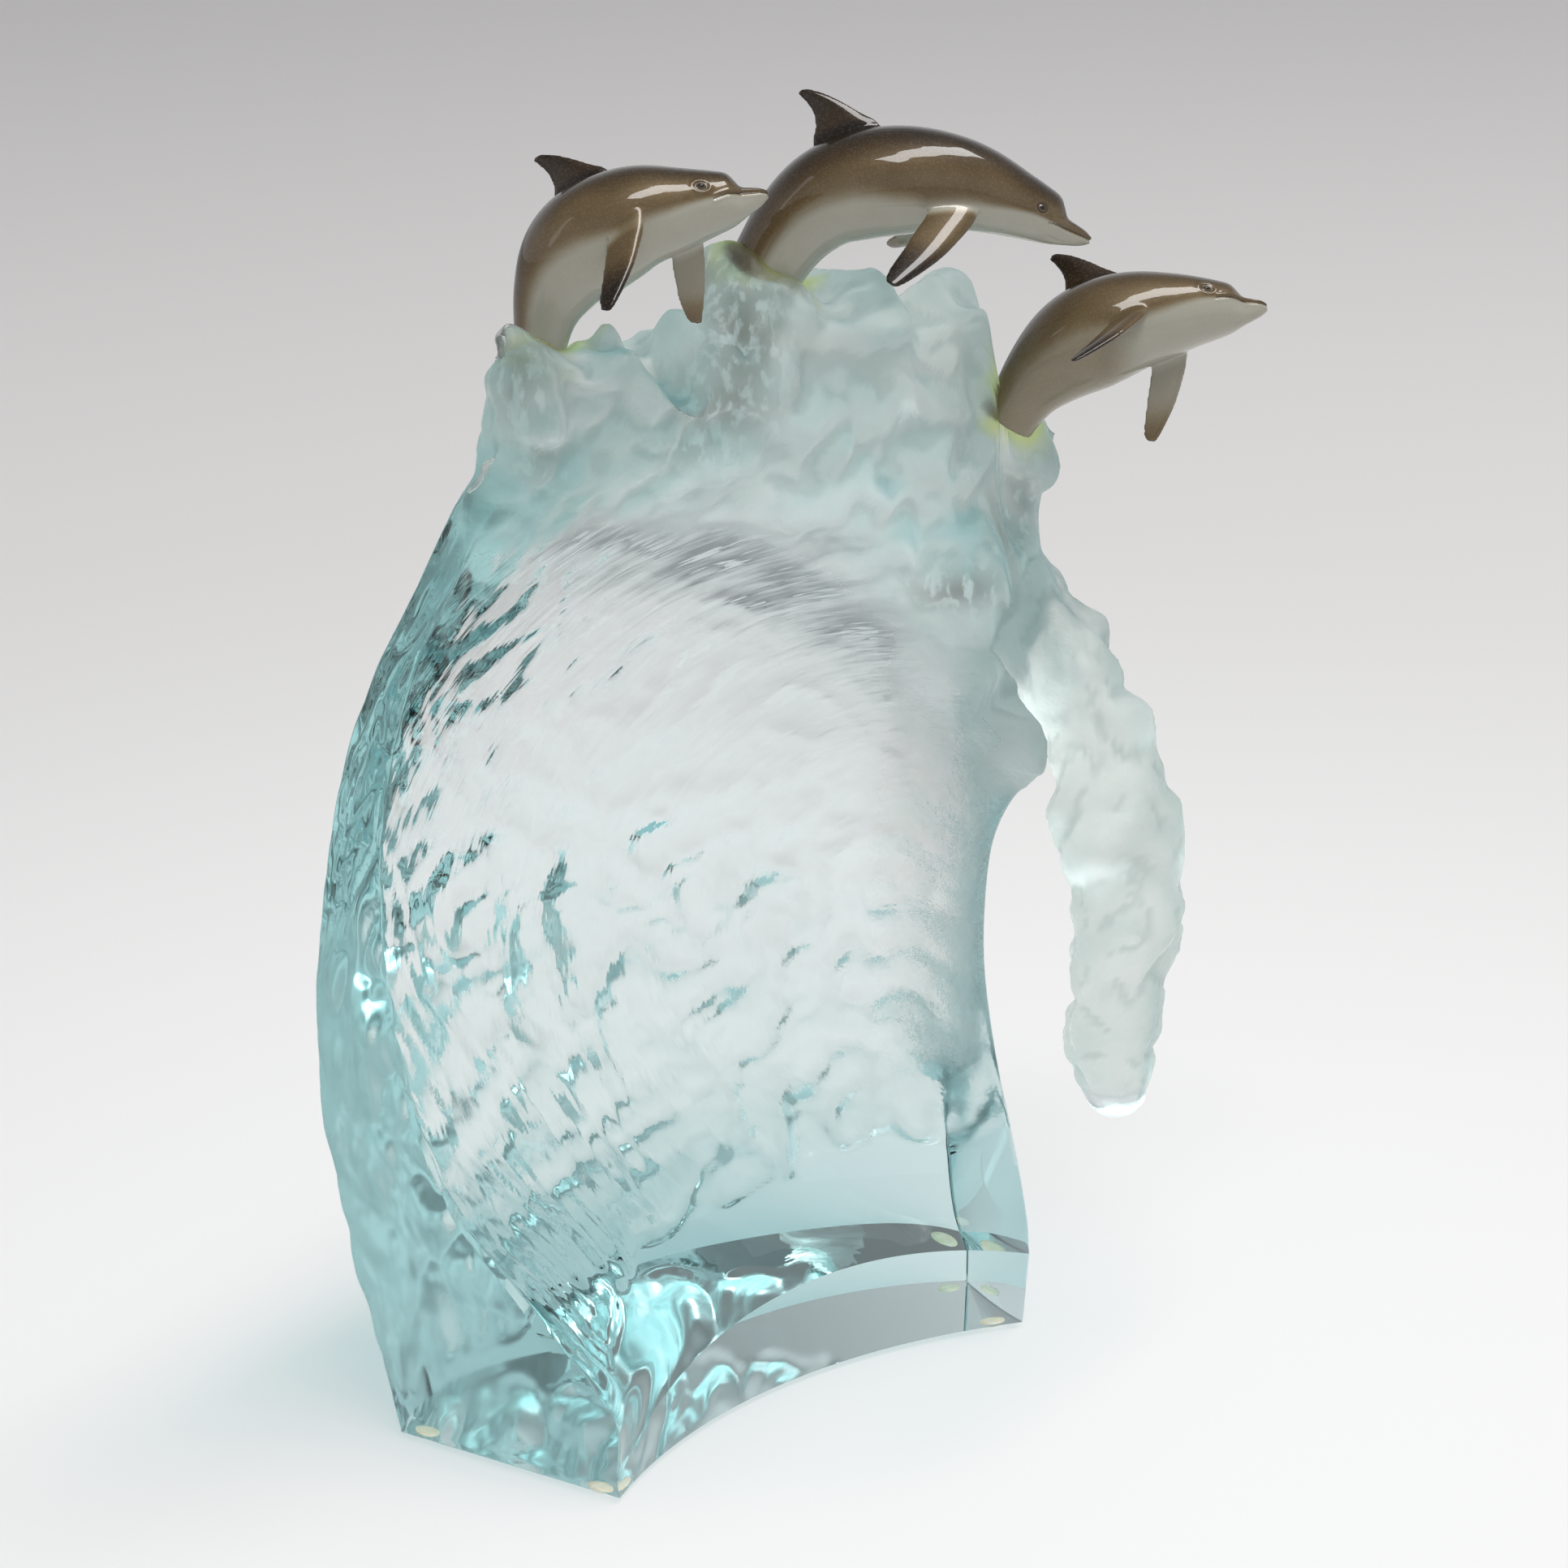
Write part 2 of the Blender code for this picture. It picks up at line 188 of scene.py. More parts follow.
def points_of(mesh: bpy.types.Mesh) -> np.ndarray:
    """The places of a mesh's vertices."""
    values = np.empty(len(mesh.vertices) * 3)
    mesh.vertices.foreach_get("co", values)
    return values.reshape(-1, 3)


def normals_of(mesh: bpy.types.Mesh) -> np.ndarray:
    """The outward directions at a mesh's vertices."""
    values = np.empty(len(mesh.vertices) * 3)
    mesh.vertex_normals.foreach_get("vector", values)
    return values.reshape(-1, 3)


def edges_of(mesh: bpy.types.Mesh) -> np.ndarray:
    """The two vertices of each edge."""
    values = np.empty(len(mesh.edges) * 2, dtype=np.int64)
    mesh.edges.foreach_get("vertices", values)
    return values.reshape(-1, 2)


def move_points(mesh: bpy.types.Mesh, points: np.ndarray) -> None:
    """Gives a mesh's vertices new places."""
    mesh.vertices.foreach_set("co", points.ravel())
    mesh.update()


def soften(points: np.ndarray, edges: np.ndarray, weight: np.ndarray, rounds: int) -> np.ndarray:
    """Draws vertices towards the middle of their neighbours.

    Args:
        points: The vertices.
        edges: Pairs of vertices.
        weight: How far each vertex goes, from 0 to 1.
        rounds: How many times.

    Returns:
        The new places.
    """
    count = np.bincount(edges.ravel(), minlength=len(points)).astype(float)
    count[count == 0] = 1.0
    for _ in range(rounds):
        total = np.zeros_like(points)
        for axis in range(3):
            total[:, axis] = np.bincount(edges[:, 0], points[edges[:, 1], axis], len(points))
            total[:, axis] += np.bincount(edges[:, 1], points[edges[:, 0], axis], len(points))
        points = points + (total / count[:, None] - points) * weight[:, None]
    return points


def store(mesh: bpy.types.Mesh, name: str, values: np.ndarray) -> None:
    """Keeps a number, or three, for each vertex where a material can read it."""
    kind, key = ("FLOAT", "value") if values.ndim == 1 else ("FLOAT_VECTOR", "vector")
    mesh.attributes.new(name, kind, "POINT").data.foreach_set(key, values.ravel())


def tree_of(points: np.ndarray) -> kdtree.KDTree:
    """A search tree of places."""
    tree = kdtree.KDTree(len(points))
    for i, point in enumerate(points.tolist()):
        tree.insert(point, i)
    tree.balance()
    return tree


def applied(obj: bpy.types.Object, *leftovers: bpy.types.Object) -> None:
    """Replaces an object's mesh by what its modifiers make of it, and removes helper objects."""
    depsgraph = bpy.context.evaluated_depsgraph_get()
    depsgraph.update()
    data = bpy.data.meshes.new_from_object(obj.evaluated_get(depsgraph))
    obj.modifiers.clear()
    obj.data = data
    for leftover in leftovers:
        bpy.data.objects.remove(leftover)


# ---------------------------------------------------------------- shader nodes


class Nodes:
    """Adds nodes to a material or a group and links them."""

    def __init__(self, tree: bpy.types.NodeTree) -> None:
        """Starts on an empty tree."""
        self.tree = tree
        tree.nodes.clear()

    def add(self, kind: str, values: dict[str, object] | None = None, **settings: object) -> bpy.types.Node:
        """Adds a node.

        Args:
            kind: The node's type.
            values: Plain values or outputs of other nodes, for its inputs by name or number.
            **settings: Settings of the node itself.

        Returns:
            The node.
        """
        node = self.tree.nodes.new(kind)
        for name, setting in settings.items():
            setattr(node, name, setting)
        for name, value in (values or {}).items():
            self.feed(node.inputs[name], value)
        return node

    def feed(self, socket: bpy.types.NodeSocket, value: object) -> None:
        """Links an output to an input, or sets the input's plain value."""
        if isinstance(value, bpy.types.NodeSocket):
            self.tree.links.new(value, socket)
        elif isinstance(value, tuple) and socket.type == "RGBA":
            socket.default_value = (*value, 1.0)
        else:
            socket.default_value = value

    def math(self, operation: str, *values: object) -> bpy.types.NodeSocket:
        """The result of a Math node."""
        return self.add("ShaderNodeMath", dict(enumerate(values)), operation=operation).outputs[0]

    def step(self, low: float, high: float, value: object) -> bpy.types.NodeSocket:
        """A smooth step from 0 at low to 1 at high."""
        inputs = {"Value": value, "From Min": low, "From Max": high}
        return self.add("ShaderNodeMapRange", inputs, interpolation_type="SMOOTHSTEP").outputs[0]

    def blend(self, share: object, below: object, above: object) -> bpy.types.NodeSocket:
        """A colour between two others."""
        node = self.add("ShaderNodeMix", data_type="RGBA")
        for number, value in ((0, share), (6, below), (7, above)):
            self.feed(node.inputs[number], value)
        return node.outputs[2]

    def attribute(self, name: str, output: str = "Fac") -> bpy.types.NodeSocket:
        """What a mesh keeps under that name."""
        return self.add("ShaderNodeAttribute", attribute_name=name).outputs[output]

    def bump(self, height: bpy.types.NodeSocket) -> bpy.types.NodeSocket:
        """A normal from a height in metres."""
        return self.add("ShaderNodeBump", {"Strength": 1.0, "Distance": 1.0, "Height": height}).outputs[0]

    def group(self, tree: bpy.types.NodeTree, values: dict[str, object]) -> bpy.types.Node:
        """Places a node group."""
        node = self.tree.nodes.new("ShaderNodeGroup")
        node.node_tree = tree
        for name, value in values.items():
            self.feed(node.inputs[name], value)
        return node


def new_group(name: str, inputs: dict[str, tuple[str, object]], outputs: dict[str, str]) -> Nodes:
    """Starts a node group.

    Args:
        name: Its name.
        inputs: Kind and plain value of each input.
        outputs: Kind of each output.

    Returns:
        The group's nodes, with "in" and "out" already placed.
    """
    tree = bpy.data.node_groups.new(name, "ShaderNodeTree")
    for title, (kind, value) in inputs.items():
        socket = tree.interface.new_socket(title, in_out="INPUT", socket_type=kind)
        if value is not None:
            socket.default_value = value
    for title, kind in outputs.items():
        tree.interface.new_socket(title, in_out="OUTPUT", socket_type=kind)
    nodes = Nodes(tree)
    nodes.add("NodeGroupInput").name = "in"
    nodes.add("NodeGroupOutput").name = "out"
    return nodes


def new_material(name: str) -> tuple[bpy.types.Material, Nodes]:
    """Starts a material, and gives it with its nodes."""
    made = bpy.data.materials.new(name)
    made.use_nodes = True
    return made, Nodes(made.node_tree)


@dataclass(frozen=True)
class SurfaceGroups:
    """Effects that more than one material uses."""

    grain: bpy.types.NodeTree
    mottle: bpy.types.NodeTree

    @classmethod
    def build(cls) -> "SurfaceGroups":
        """Builds the groups once."""
        return cls(grain=cls.grain_group(), mottle=cls.mottle_group())

    @staticmethod
    def grain_group() -> bpy.types.NodeTree:
        """Fine grain: a height for bumps and a roughness that varies with it."""
        inputs = {
            "Scale": ("NodeSocketFloat", 900.0),
            "Depth": ("NodeSocketFloat", 0.00002),
            "Roughness": ("NodeSocketFloat", 0.3),
            "Variation": ("NodeSocketFloat", 0.1),
        }
        nodes = new_group("fine_grain", inputs, {"Height": "NodeSocketFloat", "Roughness": "NodeSocketFloat"})
        given = nodes.tree.nodes["in"].outputs
        place = nodes.add("ShaderNodeTexCoord").outputs["Object"]
        pattern = nodes.add("ShaderNodeTexNoise", {"Vector": place, "Scale": given["Scale"], "Detail": 3.0})
        centred = nodes.math("SUBTRACT", pattern.outputs[0], 0.5)
        height = nodes.math("MULTIPLY", centred, given["Depth"])
        change = nodes.math("MULTIPLY", centred, given["Variation"])
        result = nodes.tree.nodes["out"].inputs
        nodes.feed(result["Height"], height)
        nodes.feed(result["Roughness"], nodes.math("ADD", given["Roughness"], change))
        return nodes.tree

    @staticmethod
    def mottle_group() -> bpy.types.NodeTree:
        """Slow cloudy change between two colours."""
        inputs = {
            "Colour": ("NodeSocketColor", (1, 1, 1, 1)),
            "Other": ("NodeSocketColor", (0.8, 0.8, 0.8, 1)),
            "Scale": ("NodeSocketFloat", 60.0),
            "Share": ("NodeSocketFloat", 0.5),
        }
        nodes = new_group("mottle", inputs, {"Colour": "NodeSocketColor"})
        given = nodes.tree.nodes["in"].outputs
        place = nodes.add("ShaderNodeTexCoord").outputs["Object"]
        pattern = nodes.add("ShaderNodeTexNoise", {"Vector": place, "Scale": given["Scale"], "Detail": 4.0})
        share = nodes.math("MULTIPLY", nodes.step(0.35, 0.65, pattern.outputs[0]), given["Share"])
        result = nodes.tree.nodes["out"].inputs
        nodes.feed(result["Colour"], nodes.blend(share, given["Colour"], given["Other"]))
        return nodes.tree


@dataclass(frozen=True)
class ClearAcrylic:
    """Clear acrylic, faintly aqua in its depth, frosted where the mesh says so, with painted shade in its
    frosted creases.
    """

    groups: SurfaceGroups
    tint: Colour = (0.10, 0.70, 0.725)
    density: float = 3.9
    index: float = 1.49
    polished: float = 0.012
    frosted: float = 0.56
    foam_light: Colour = (1.0, 0.975, 0.945)
    foam_dark: Colour = (0.82, 0.86, 0.82)
    face: Colour = (1.0, 0.965, 0.960)
    # Painted shade: the colour that the frosted creases are darkened towards.
    valley: Colour = (0.42, 0.50, 0.48)
    grime: Colour = (0.095, 0.085, 0.058)
    glue: Colour = (0.78, 0.80, 0.16)
    shadow: Colour = (0.88, 0.91, 0.915)
    ripple_depth: float = 0.00042
    billow_depth: float = 0.0006

    def make(self) -> bpy.types.Material:
        """Builds the material."""
        made, nodes = new_material("clear_acrylic_dressed")
        frost, stain = nodes.attribute("frost"), nodes.attribute("stain")
        flow, smudge = nodes.attribute("flow"), nodes.attribute("smudge")
        hollow = nodes.attribute("hollow")
        place = nodes.add("ShaderNodeTexCoord").outputs["Object"]
        swirl = nodes.attribute("swirl", "Vector")

        cloud = nodes.group(self.groups.mottle, {
            "Colour": self.foam_light, "Other": self.foam_dark, "Scale": 48.0, "Share": 0.9,
        })
        colour = nodes.blend(flow, (1.0, 1.0, 1.0), self.face)
        colour = nodes.blend(frost, colour, cloud.outputs[0])
        # Painted shade: the frosted creases darken towards an olive grey, as if shade fell into the relief.
        valley = nodes.math("MULTIPLY", nodes.math("MULTIPLY", hollow, frost), 0.55)
        colour = nodes.blend(valley, colour, self.valley)
        drawn = nodes.add("ShaderNodeVectorMath", {0: place, 1: (1.0, 1.0, 0.45)}, operation="MULTIPLY")
        streak = nodes.add("ShaderNodeTexNoise", {"Vector": drawn.outputs[0], "Scale": 330.0, "Detail": 5.0})
        grime = nodes.math("MULTIPLY", nodes.step(0.36, 0.52, streak.outputs[0]), smudge)
        colour = nodes.blend(grime, colour, self.grime)
        colour = nodes.blend(stain, colour, self.glue)

        grain = nodes.group(self.groups.grain, {
            "Scale": 1400.0, "Depth": 0.00005, "Roughness": self.frosted, "Variation": 0.20,
        })
        rough = nodes.math("MULTIPLY", grain.outputs["Roughness"], frost)
        rough = nodes.math("ADD", rough, self.polished)

        ripple = nodes.add("ShaderNodeTexNoise", {"Vector": swirl, "Scale": 1.0, "Detail": 2.0})
        height = nodes.math("MULTIPLY", nodes.math("MULTIPLY", ripple.outputs[0], flow), self.ripple_depth)
        billow = nodes.add("ShaderNodeTexNoise", {"Vector": place, "Scale": 230.0, "Detail": 4.0})
        rough_foam = nodes.step(0.45, 0.95, frost)
        soft = nodes.math("MULTIPLY", billow.outputs[0], rough_foam)
        soft = nodes.math("MULTIPLY", soft, self.billow_depth)
        height = nodes.math("ADD", height, soft)
        height = nodes.math("ADD", height, nodes.math("MULTIPLY", grain.outputs["Height"], rough_foam))

        surface = nodes.add("ShaderNodeBsdfPrincipled", {
            "Base Color": colour, "Roughness": rough, "IOR": self.index,
            "Transmission Weight": 1.0, "Normal": nodes.bump(height),
        })
        lamp_light = nodes.add("ShaderNodeBsdfTransparent", {"Color": self.shadow})
        path = nodes.add("ShaderNodeLightPath")
        straight = nodes.math("MAXIMUM", path.outputs["Is Shadow Ray"], path.outputs["Is Diffuse Ray"])
        mixed = nodes.add("ShaderNodeMixShader", {
            0: straight, 1: surface.outputs[0], 2: lamp_light.outputs[0],
        })
        depth = nodes.add("ShaderNodeVolumeAbsorption", {"Color": self.tint, "Density": self.density})
        nodes.add("ShaderNodeOutputMaterial", {"Surface": mixed.outputs[0], "Volume": depth.outputs[0]})
        return made


@dataclass(frozen=True)
class PearlPaint:
    """Sprayed pearl paint under clear lacquer: dark back, bronze sides and a silver belly."""

    groups: SurfaceGroups
    metallic: float = 0.18
    roughness: float = 0.42
    lacquer: float = 1.46
    coat: float = 0.85
    ink: Colour = (0.012, 0.009, 0.007)
    flake: Colour = (0.75, 0.62, 0.44)
    flake_share: float = 0.035
    shades: tuple[tuple[float, Colour], ...] = (
        (0.00, (0.006, 0.003, 0.0015)),
        (0.14, (0.012, 0.007, 0.004)),
        (0.34, (0.048, 0.029, 0.013)),
        (0.50, (0.142, 0.096, 0.042)),
        (0.70, (0.210, 0.180, 0.118)),
        (1.00, (0.395, 0.388, 0.330)),
    )

    def make(self) -> bpy.types.Material:
        """Builds the material."""
        made, nodes = new_material("dolphin_paint_dressed")
        shade = nodes.attribute("shade")
        eye, mouth = nodes.attribute("eye"), nodes.attribute("mouth")

        place = nodes.add("ShaderNodeTexCoord").outputs["Object"]
        cloud = nodes.add("ShaderNodeTexNoise", {"Vector": place, "Scale": 90.0, "Detail": 4.0})
        drift = nodes.math("MULTIPLY", nodes.math("SUBTRACT", cloud.outputs[0], 0.5), 0.10)
        ramp = nodes.add("ShaderNodeValToRGB", {"Fac": nodes.math("ADD", shade, drift)})
        ramp.color_ramp.interpolation = "B_SPLINE"
        marks = ramp.color_ramp.elements
        marks[0].position, marks[1].position = self.shades[0][0], self.shades[-1][0]
        for position, _ in self.shades[1:-1]:
            marks.new(position)
        for mark, (_, colour) in zip(marks, self.shades):
            mark.color = (*colour, 1.0)

        cells = nodes.add("ShaderNodeTexVoronoi", {"Vector": place, "Scale": 2600.0})
        chance = nodes.add("ShaderNodeSeparateColor", {0: cells.outputs["Color"]}).outputs[0]
        sparkle = nodes.math("MULTIPLY", nodes.step(0.55, 0.95, chance), self.flake_share)
        colour = nodes.blend(sparkle, ramp.outputs[0], self.flake)
        pupil = nodes.math("SUBTRACT", 1.0, nodes.step(0.75, 0.95, eye))
        lid_near = nodes.math("ABSOLUTE", nodes.math("SUBTRACT", eye, 1.45))
        lid = nodes.math("MULTIPLY", nodes.math("SUBTRACT", 1.0, nodes.step(0.10, 0.35, lid_near)), 0.75)
        lip = nodes.math("MULTIPLY", nodes.math("SUBTRACT", 1.0, nodes.step(0.06, 0.26, mouth)), 0.85)
        for mask in (lid, lip, pupil):
            colour = nodes.blend(mask, colour, self.ink)

        grain = nodes.group(self.groups.grain, {
            "Scale": 2200.0, "Depth": 0.00002, "Roughness": self.roughness, "Variation": 0.25,
        })
        surface = nodes.add("ShaderNodeBsdfPrincipled", {
            "Base Color": colour, "Roughness": grain.outputs["Roughness"], "Metallic": self.metallic,
            "Coat Weight": self.coat, "Coat Roughness": 0.035, "Coat IOR": self.lacquer,
            "Specular IOR Level": 0.15, "Normal": nodes.bump(grain.outputs["Height"]),
        })
        nodes.add("ShaderNodeOutputMaterial", {"Surface": surface.outputs[0]})
        return made


@dataclass(frozen=True)
class CreamRubber:
    """Aged cream bumper rubber."""

    groups: SurfaceGroups
    fresh: Colour = (0.86, 0.80, 0.62)
    aged: Colour = (0.74, 0.66, 0.46)

    def make(self) -> bpy.types.Material:
        """Builds the material."""
        made, nodes = new_material("pad_rubber_dressed")
        mottle = nodes.group(self.groups.mottle, {
            "Colour": self.fresh, "Other": self.aged, "Scale": 420.0, "Share": 0.6,
        })
        grain = nodes.group(self.groups.grain, {
            "Scale": 1500.0, "Depth": 0.00004, "Roughness": 0.5, "Variation": 0.2,
        })
        surface = nodes.add("ShaderNodeBsdfPrincipled", {
            "Base Color": mottle.outputs[0], "Roughness": grain.outputs["Roughness"],
            "Subsurface Weight": 0.3, "Subsurface Scale": 0.003,
            "Normal": nodes.bump(grain.outputs["Height"]),
        })
        nodes.add("ShaderNodeOutputMaterial", {"Surface": surface.outputs[0]})
        return made


@dataclass(frozen=True)
class StudioPaper:
    """The pale floor, with a painted pool of light: its colour is brightest under the sculpture and greyer
    further out.
    """

    groups: SurfaceGroups
    near: Colour = (0.90, 0.90, 0.895)
    middle: Colour = (0.765, 0.755, 0.745)
    far: Colour = (0.68, 0.665, 0.66)

    def make(self) -> bpy.types.Material:
        """Builds the material."""
        made, nodes = new_material("studio_paper")
        place = nodes.add("ShaderNodeTexCoord").outputs["Object"]
        distance = nodes.add("ShaderNodeVectorMath", {0: place}, operation="LENGTH").outputs["Value"]
        # Painted light: the colour falls off from near to far and stands in for the light's own falloff.
        colour = nodes.blend(nodes.step(0.1, 0.9, distance), self.near, self.middle)
        colour = nodes.blend(nodes.step(0.7, 2.6, distance), colour, self.far)
        grain = nodes.group(self.groups.grain, {
            "Scale": 900.0, "Depth": 0.00001, "Roughness": 0.7, "Variation": 0.1,
        })
        surface = nodes.add("ShaderNodeBsdfPrincipled", {
            "Base Color": colour, "Roughness": grain.outputs["Roughness"], "Specular IOR Level": 0.2,
        })
        nodes.add("ShaderNodeOutputMaterial", {"Surface": surface.outputs[0]})
        return made


# ---------------------------------------------------------------- the wave


@dataclass
class WaveForm:
    """The wave's sizes, the same as the solids': upright sections along a curved base line."""

    base_radius: float = 0.1817
    base_centre: Row = (0.1245, -0.1320, 0.0)
    base_from: float = math.radians(161.3)
    base_to: float = math.radians(106.1)
    section_yaw: Row = (math.radians(147.6), math.radians(130.0), math.radians(113.0))
    floor: float = 0.0020
    pad_inset: float = 0.0076
    band: Rows = ((0.000, 0.008), (0.000, 0.032), (-0.004, 0.027))
    face: tuple[Rows, ...] = (
        ((0.001, 0.026), (0.010, 0.042), (-0.002, 0.038)),
        ((0.024, 0.051), (0.022, 0.057), (0.008, 0.060)),
        ((0.054, 0.078), (0.038, 0.082), (0.021, 0.085)),
        ((0.071, 0.113), (0.050, 0.114), (0.029, 0.107)),
        ((0.080, 0.160), (0.056, 0.152), (0.030, 0.127)),
        ((0.077, 0.203), (0.050, 0.196), (0.025, 0.151)),
        ((0.064, 0.247), (0.030, 0.240), (0.010, 0.171)),
    )
    brow: Rows = ((0.043, 0.286), (-0.006, 0.277), (-0.014, 0.188))
    forehead: Rows = ((0.029, 0.310), (-0.017, 0.302), (-0.021, 0.222))
    temple: Rows = ((0.024, 0.326), (-0.017, 0.320), (-0.011, 0.256))
    peak: Row = (0.024, -0.012, -0.016)
    crest: Row = (0.034, 0.006, -0.007)
    rear: Row = (0.044, 0.023, 0.008)
    nape: Rows = ((0.0465, 0.304), (0.036, 0.300), (0.016, 0.258))
    back: tuple[Rows, ...] = (
        ((0.056, 0.284), (0.050, 0.268), (0.030, 0.236)),
        ((0.089, 0.218), (0.076, 0.212), (0.048, 0.200)),
        ((0.1035, 0.150), (0.092, 0.152), (0.061, 0.152)),
        ((0.1045, 0.112), (0.096, 0.105), (0.067, 0.105)),
        ((0.096, 0.065), (0.090, 0.060), (0.069, 0.055)),
    )
    heel: Row = (0.078, 0.080, 0.066)
    crest_line: Rows = (
        (0.000, 0.352), (0.030, 0.351), (0.083, 0.344), (0.140, 0.339), (0.200, 0.339),
        (0.245, 0.331), (0.285, 0.327), (0.315, 0.337), (0.376, 0.339), (0.410, 0.347),
        (0.440, 0.357), (0.510, 0.349), (0.580, 0.343), (0.640, 0.346), (0.690, 0.345),
        (0.715, 0.333), (0.780, 0.337), (0.845, 0.340), (0.872, 0.335), (0.895, 0.300),
        (0.950, 0.297), (1.000, 0.294),
    )
    peak_drop: float = 0.009
    rear_drop: float = 0.010
    foam_swell: float = 0.0050
    foam_grain: float = 0.022

    def corner(self, points: Rows, t: float) -> Vector:
        """A corner point of the section at t, as back and up."""
        return Vector((parabola([p[0] for p in points], t), parabola([p[1] for p in points], t)))

    def side_of(self, t: float) -> Vector:
        """The level direction square to the section at t, towards the right end."""
        yaw = parabola(self.section_yaw, t)
        return Vector((math.sin(yaw), -math.cos(yaw), 0))

    def places(self, t: float, outline: np.ndarray) -> np.ndarray:
        """The places of section points, given as rows of back and up."""
        angle = self.base_from + (self.base_to - self.base_from) * t
        yaw = parabola(self.section_yaw, t)
        start = np.array(self.base_centre)
        start = start + self.base_radius * np.array((math.cos(angle), math.sin(angle), 0.0))
        back, up = outline[:, :1], outline[:, 1:]
        return start + np.hstack((back * math.cos(yaw), back * math.sin(yaw), up))

    def place(self, t: float, back: float, up: float) -> Vector:
        """The place of one section point."""
        return Vector(self.places(t, np.array(((back, up),)))[0])

    def section(self, t: float, count: int) -> np.ndarray:
        """The outline at t, from the front foot over the crest to the heel.

        Args:
            t: Place along the wave, 0 at the left end and 1 at the right.
            count: Points on the front above the foot, and as many more behind.

        Returns:
            Rows of back and up: the foot, the front up to the crest, and the back down to the heel.
        """
        crest_up = smooth_row(self.crest_line, t)[0]
        crest = Vector((parabola(self.crest, t), crest_up))
        front = [self.corner(p, t) for p in (self.band, *self.face, self.brow, self.forehead, self.temple)]
        front[-1].y = min(front[-1].y, crest_up - self.peak_drop - 0.005)
        front += [Vector((parabola(self.peak, t), crest_up - self.peak_drop)), crest]
        rear = [crest, Vector((parabola(self.rear, t), crest_up - self.rear_drop))]
        rear += [self.corner(points, t) for points in (self.nape, *self.back)]
        rear.append(Vector((parabola(self.heel, t), self.floor)))
        behind = even_points(rear, count + 1)[1:]
        return np.array([[0.0, self.floor]] + even_points(front, count) + behind)

    def pad_places(self) -> dict[str, Vector]:
        """Where the pads sit, in from the four corners of the base."""
        inner = self.pad_inset / (self.base_radius * (self.base_from - self.base_to))
        left, right = self.heel[0] - self.pad_inset, self.heel[2] - self.pad_inset
        return {
            "pad_front_left": self.place(inner, self.pad_inset, 0.0),
            "pad_back_left": self.place(inner, left, 0.0),
            "pad_front_right": self.place(1 - inner, self.pad_inset, 0.0),
            "pad_back_right": self.place(1 - inner, right, 0.0),
        }

    def shift(self) -> Vector:
        """From these sizes' own origin to the frame's, read from where a packed pad sits."""
        low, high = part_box("pad_front_left")
        middle = (Vector(low) + Vector(high)) / 2
        away = middle - self.pad_places()["pad_front_left"]
        return Vector((away.x, away.y, 0.0))


@dataclass
class LipForm:
    """The lip that falls from the crest at the right end."""

    rows: Rows = (
        (-0.014, 0.000, 0.262, 0.0090, 0.0080),
        (-0.010, -0.012, 0.243, 0.0140, 0.0125),
        (-0.004, -0.033, 0.223, 0.0150, 0.0135),
        (0.000, -0.050, 0.200, 0.0165, 0.0135),
        (0.001, -0.058, 0.175, 0.0190, 0.0140),
        (0.000, -0.061, 0.153, 0.0180, 0.0135),
        (0.000, -0.059, 0.128, 0.0155, 0.0125),
        (0.000, -0.058, 0.110, 0.0130, 0.0110),
        (0.000, -0.0575, 0.100, 0.0090, 0.0080),
        (0.000, -0.057, 0.0965, 0.0035, 0.0032),
    )
    rings: int = 130
    sides: int = 56
    swell: float = 0.0030
    billow: float = 0.0014
    billow_grain: float = 0.014
    crease: float = 0.0004
    crease_grain: float = 0.005

    def build(self, wave: WaveForm) -> np.ndarray:
        """The lip's rings of points, square to its path."""
        rows = [(float(i), *row) for i, row in enumerate(self.rows)]
        last = len(rows) - 1
        side = wave.side_of(1.0)

        def middle(x: float) -> Vector:
            """The middle of the lip at x."""
            aside, back, up = smooth_row(rows, x)[:3]
            return wave.place(1.0, back, up) + side * aside

        points, ways, thins = [], [], []
        for i in range(self.rings):
            x = last * i / (self.rings - 1)
            half_width, half_thickness = smooth_row(rows, x)[3:]
            forward = (middle(min(x + 0.05, last)) - middle(max(x - 0.05, 0))).normalized()
            across = (side - forward * side.dot(forward)).normalized()
            out = forward.cross(across)
            for k in range(self.sides):
                angle = 2 * math.pi * k / self.sides
                way = across * math.cos(angle) * half_width + out * math.sin(angle) * half_thickness
                points.append(middle(x) + way)
                ways.append(way.normalized())
                thins.append(min(1.0, half_width / 0.014))
        points, ways, thins = np.array(points), np.array(ways), np.array(thins)
        calm = ease(0.101, 0.116, points[:, 2]) * thins
        offset = self.swell * thins * lumps(points, wave.foam_grain)
        offset += self.billow * calm * creases(points, self.billow_grain, 7.0)
        offset += self.crease * calm * creases(points, self.crease_grain, 3.0)
        return points + ways * offset[:, None]


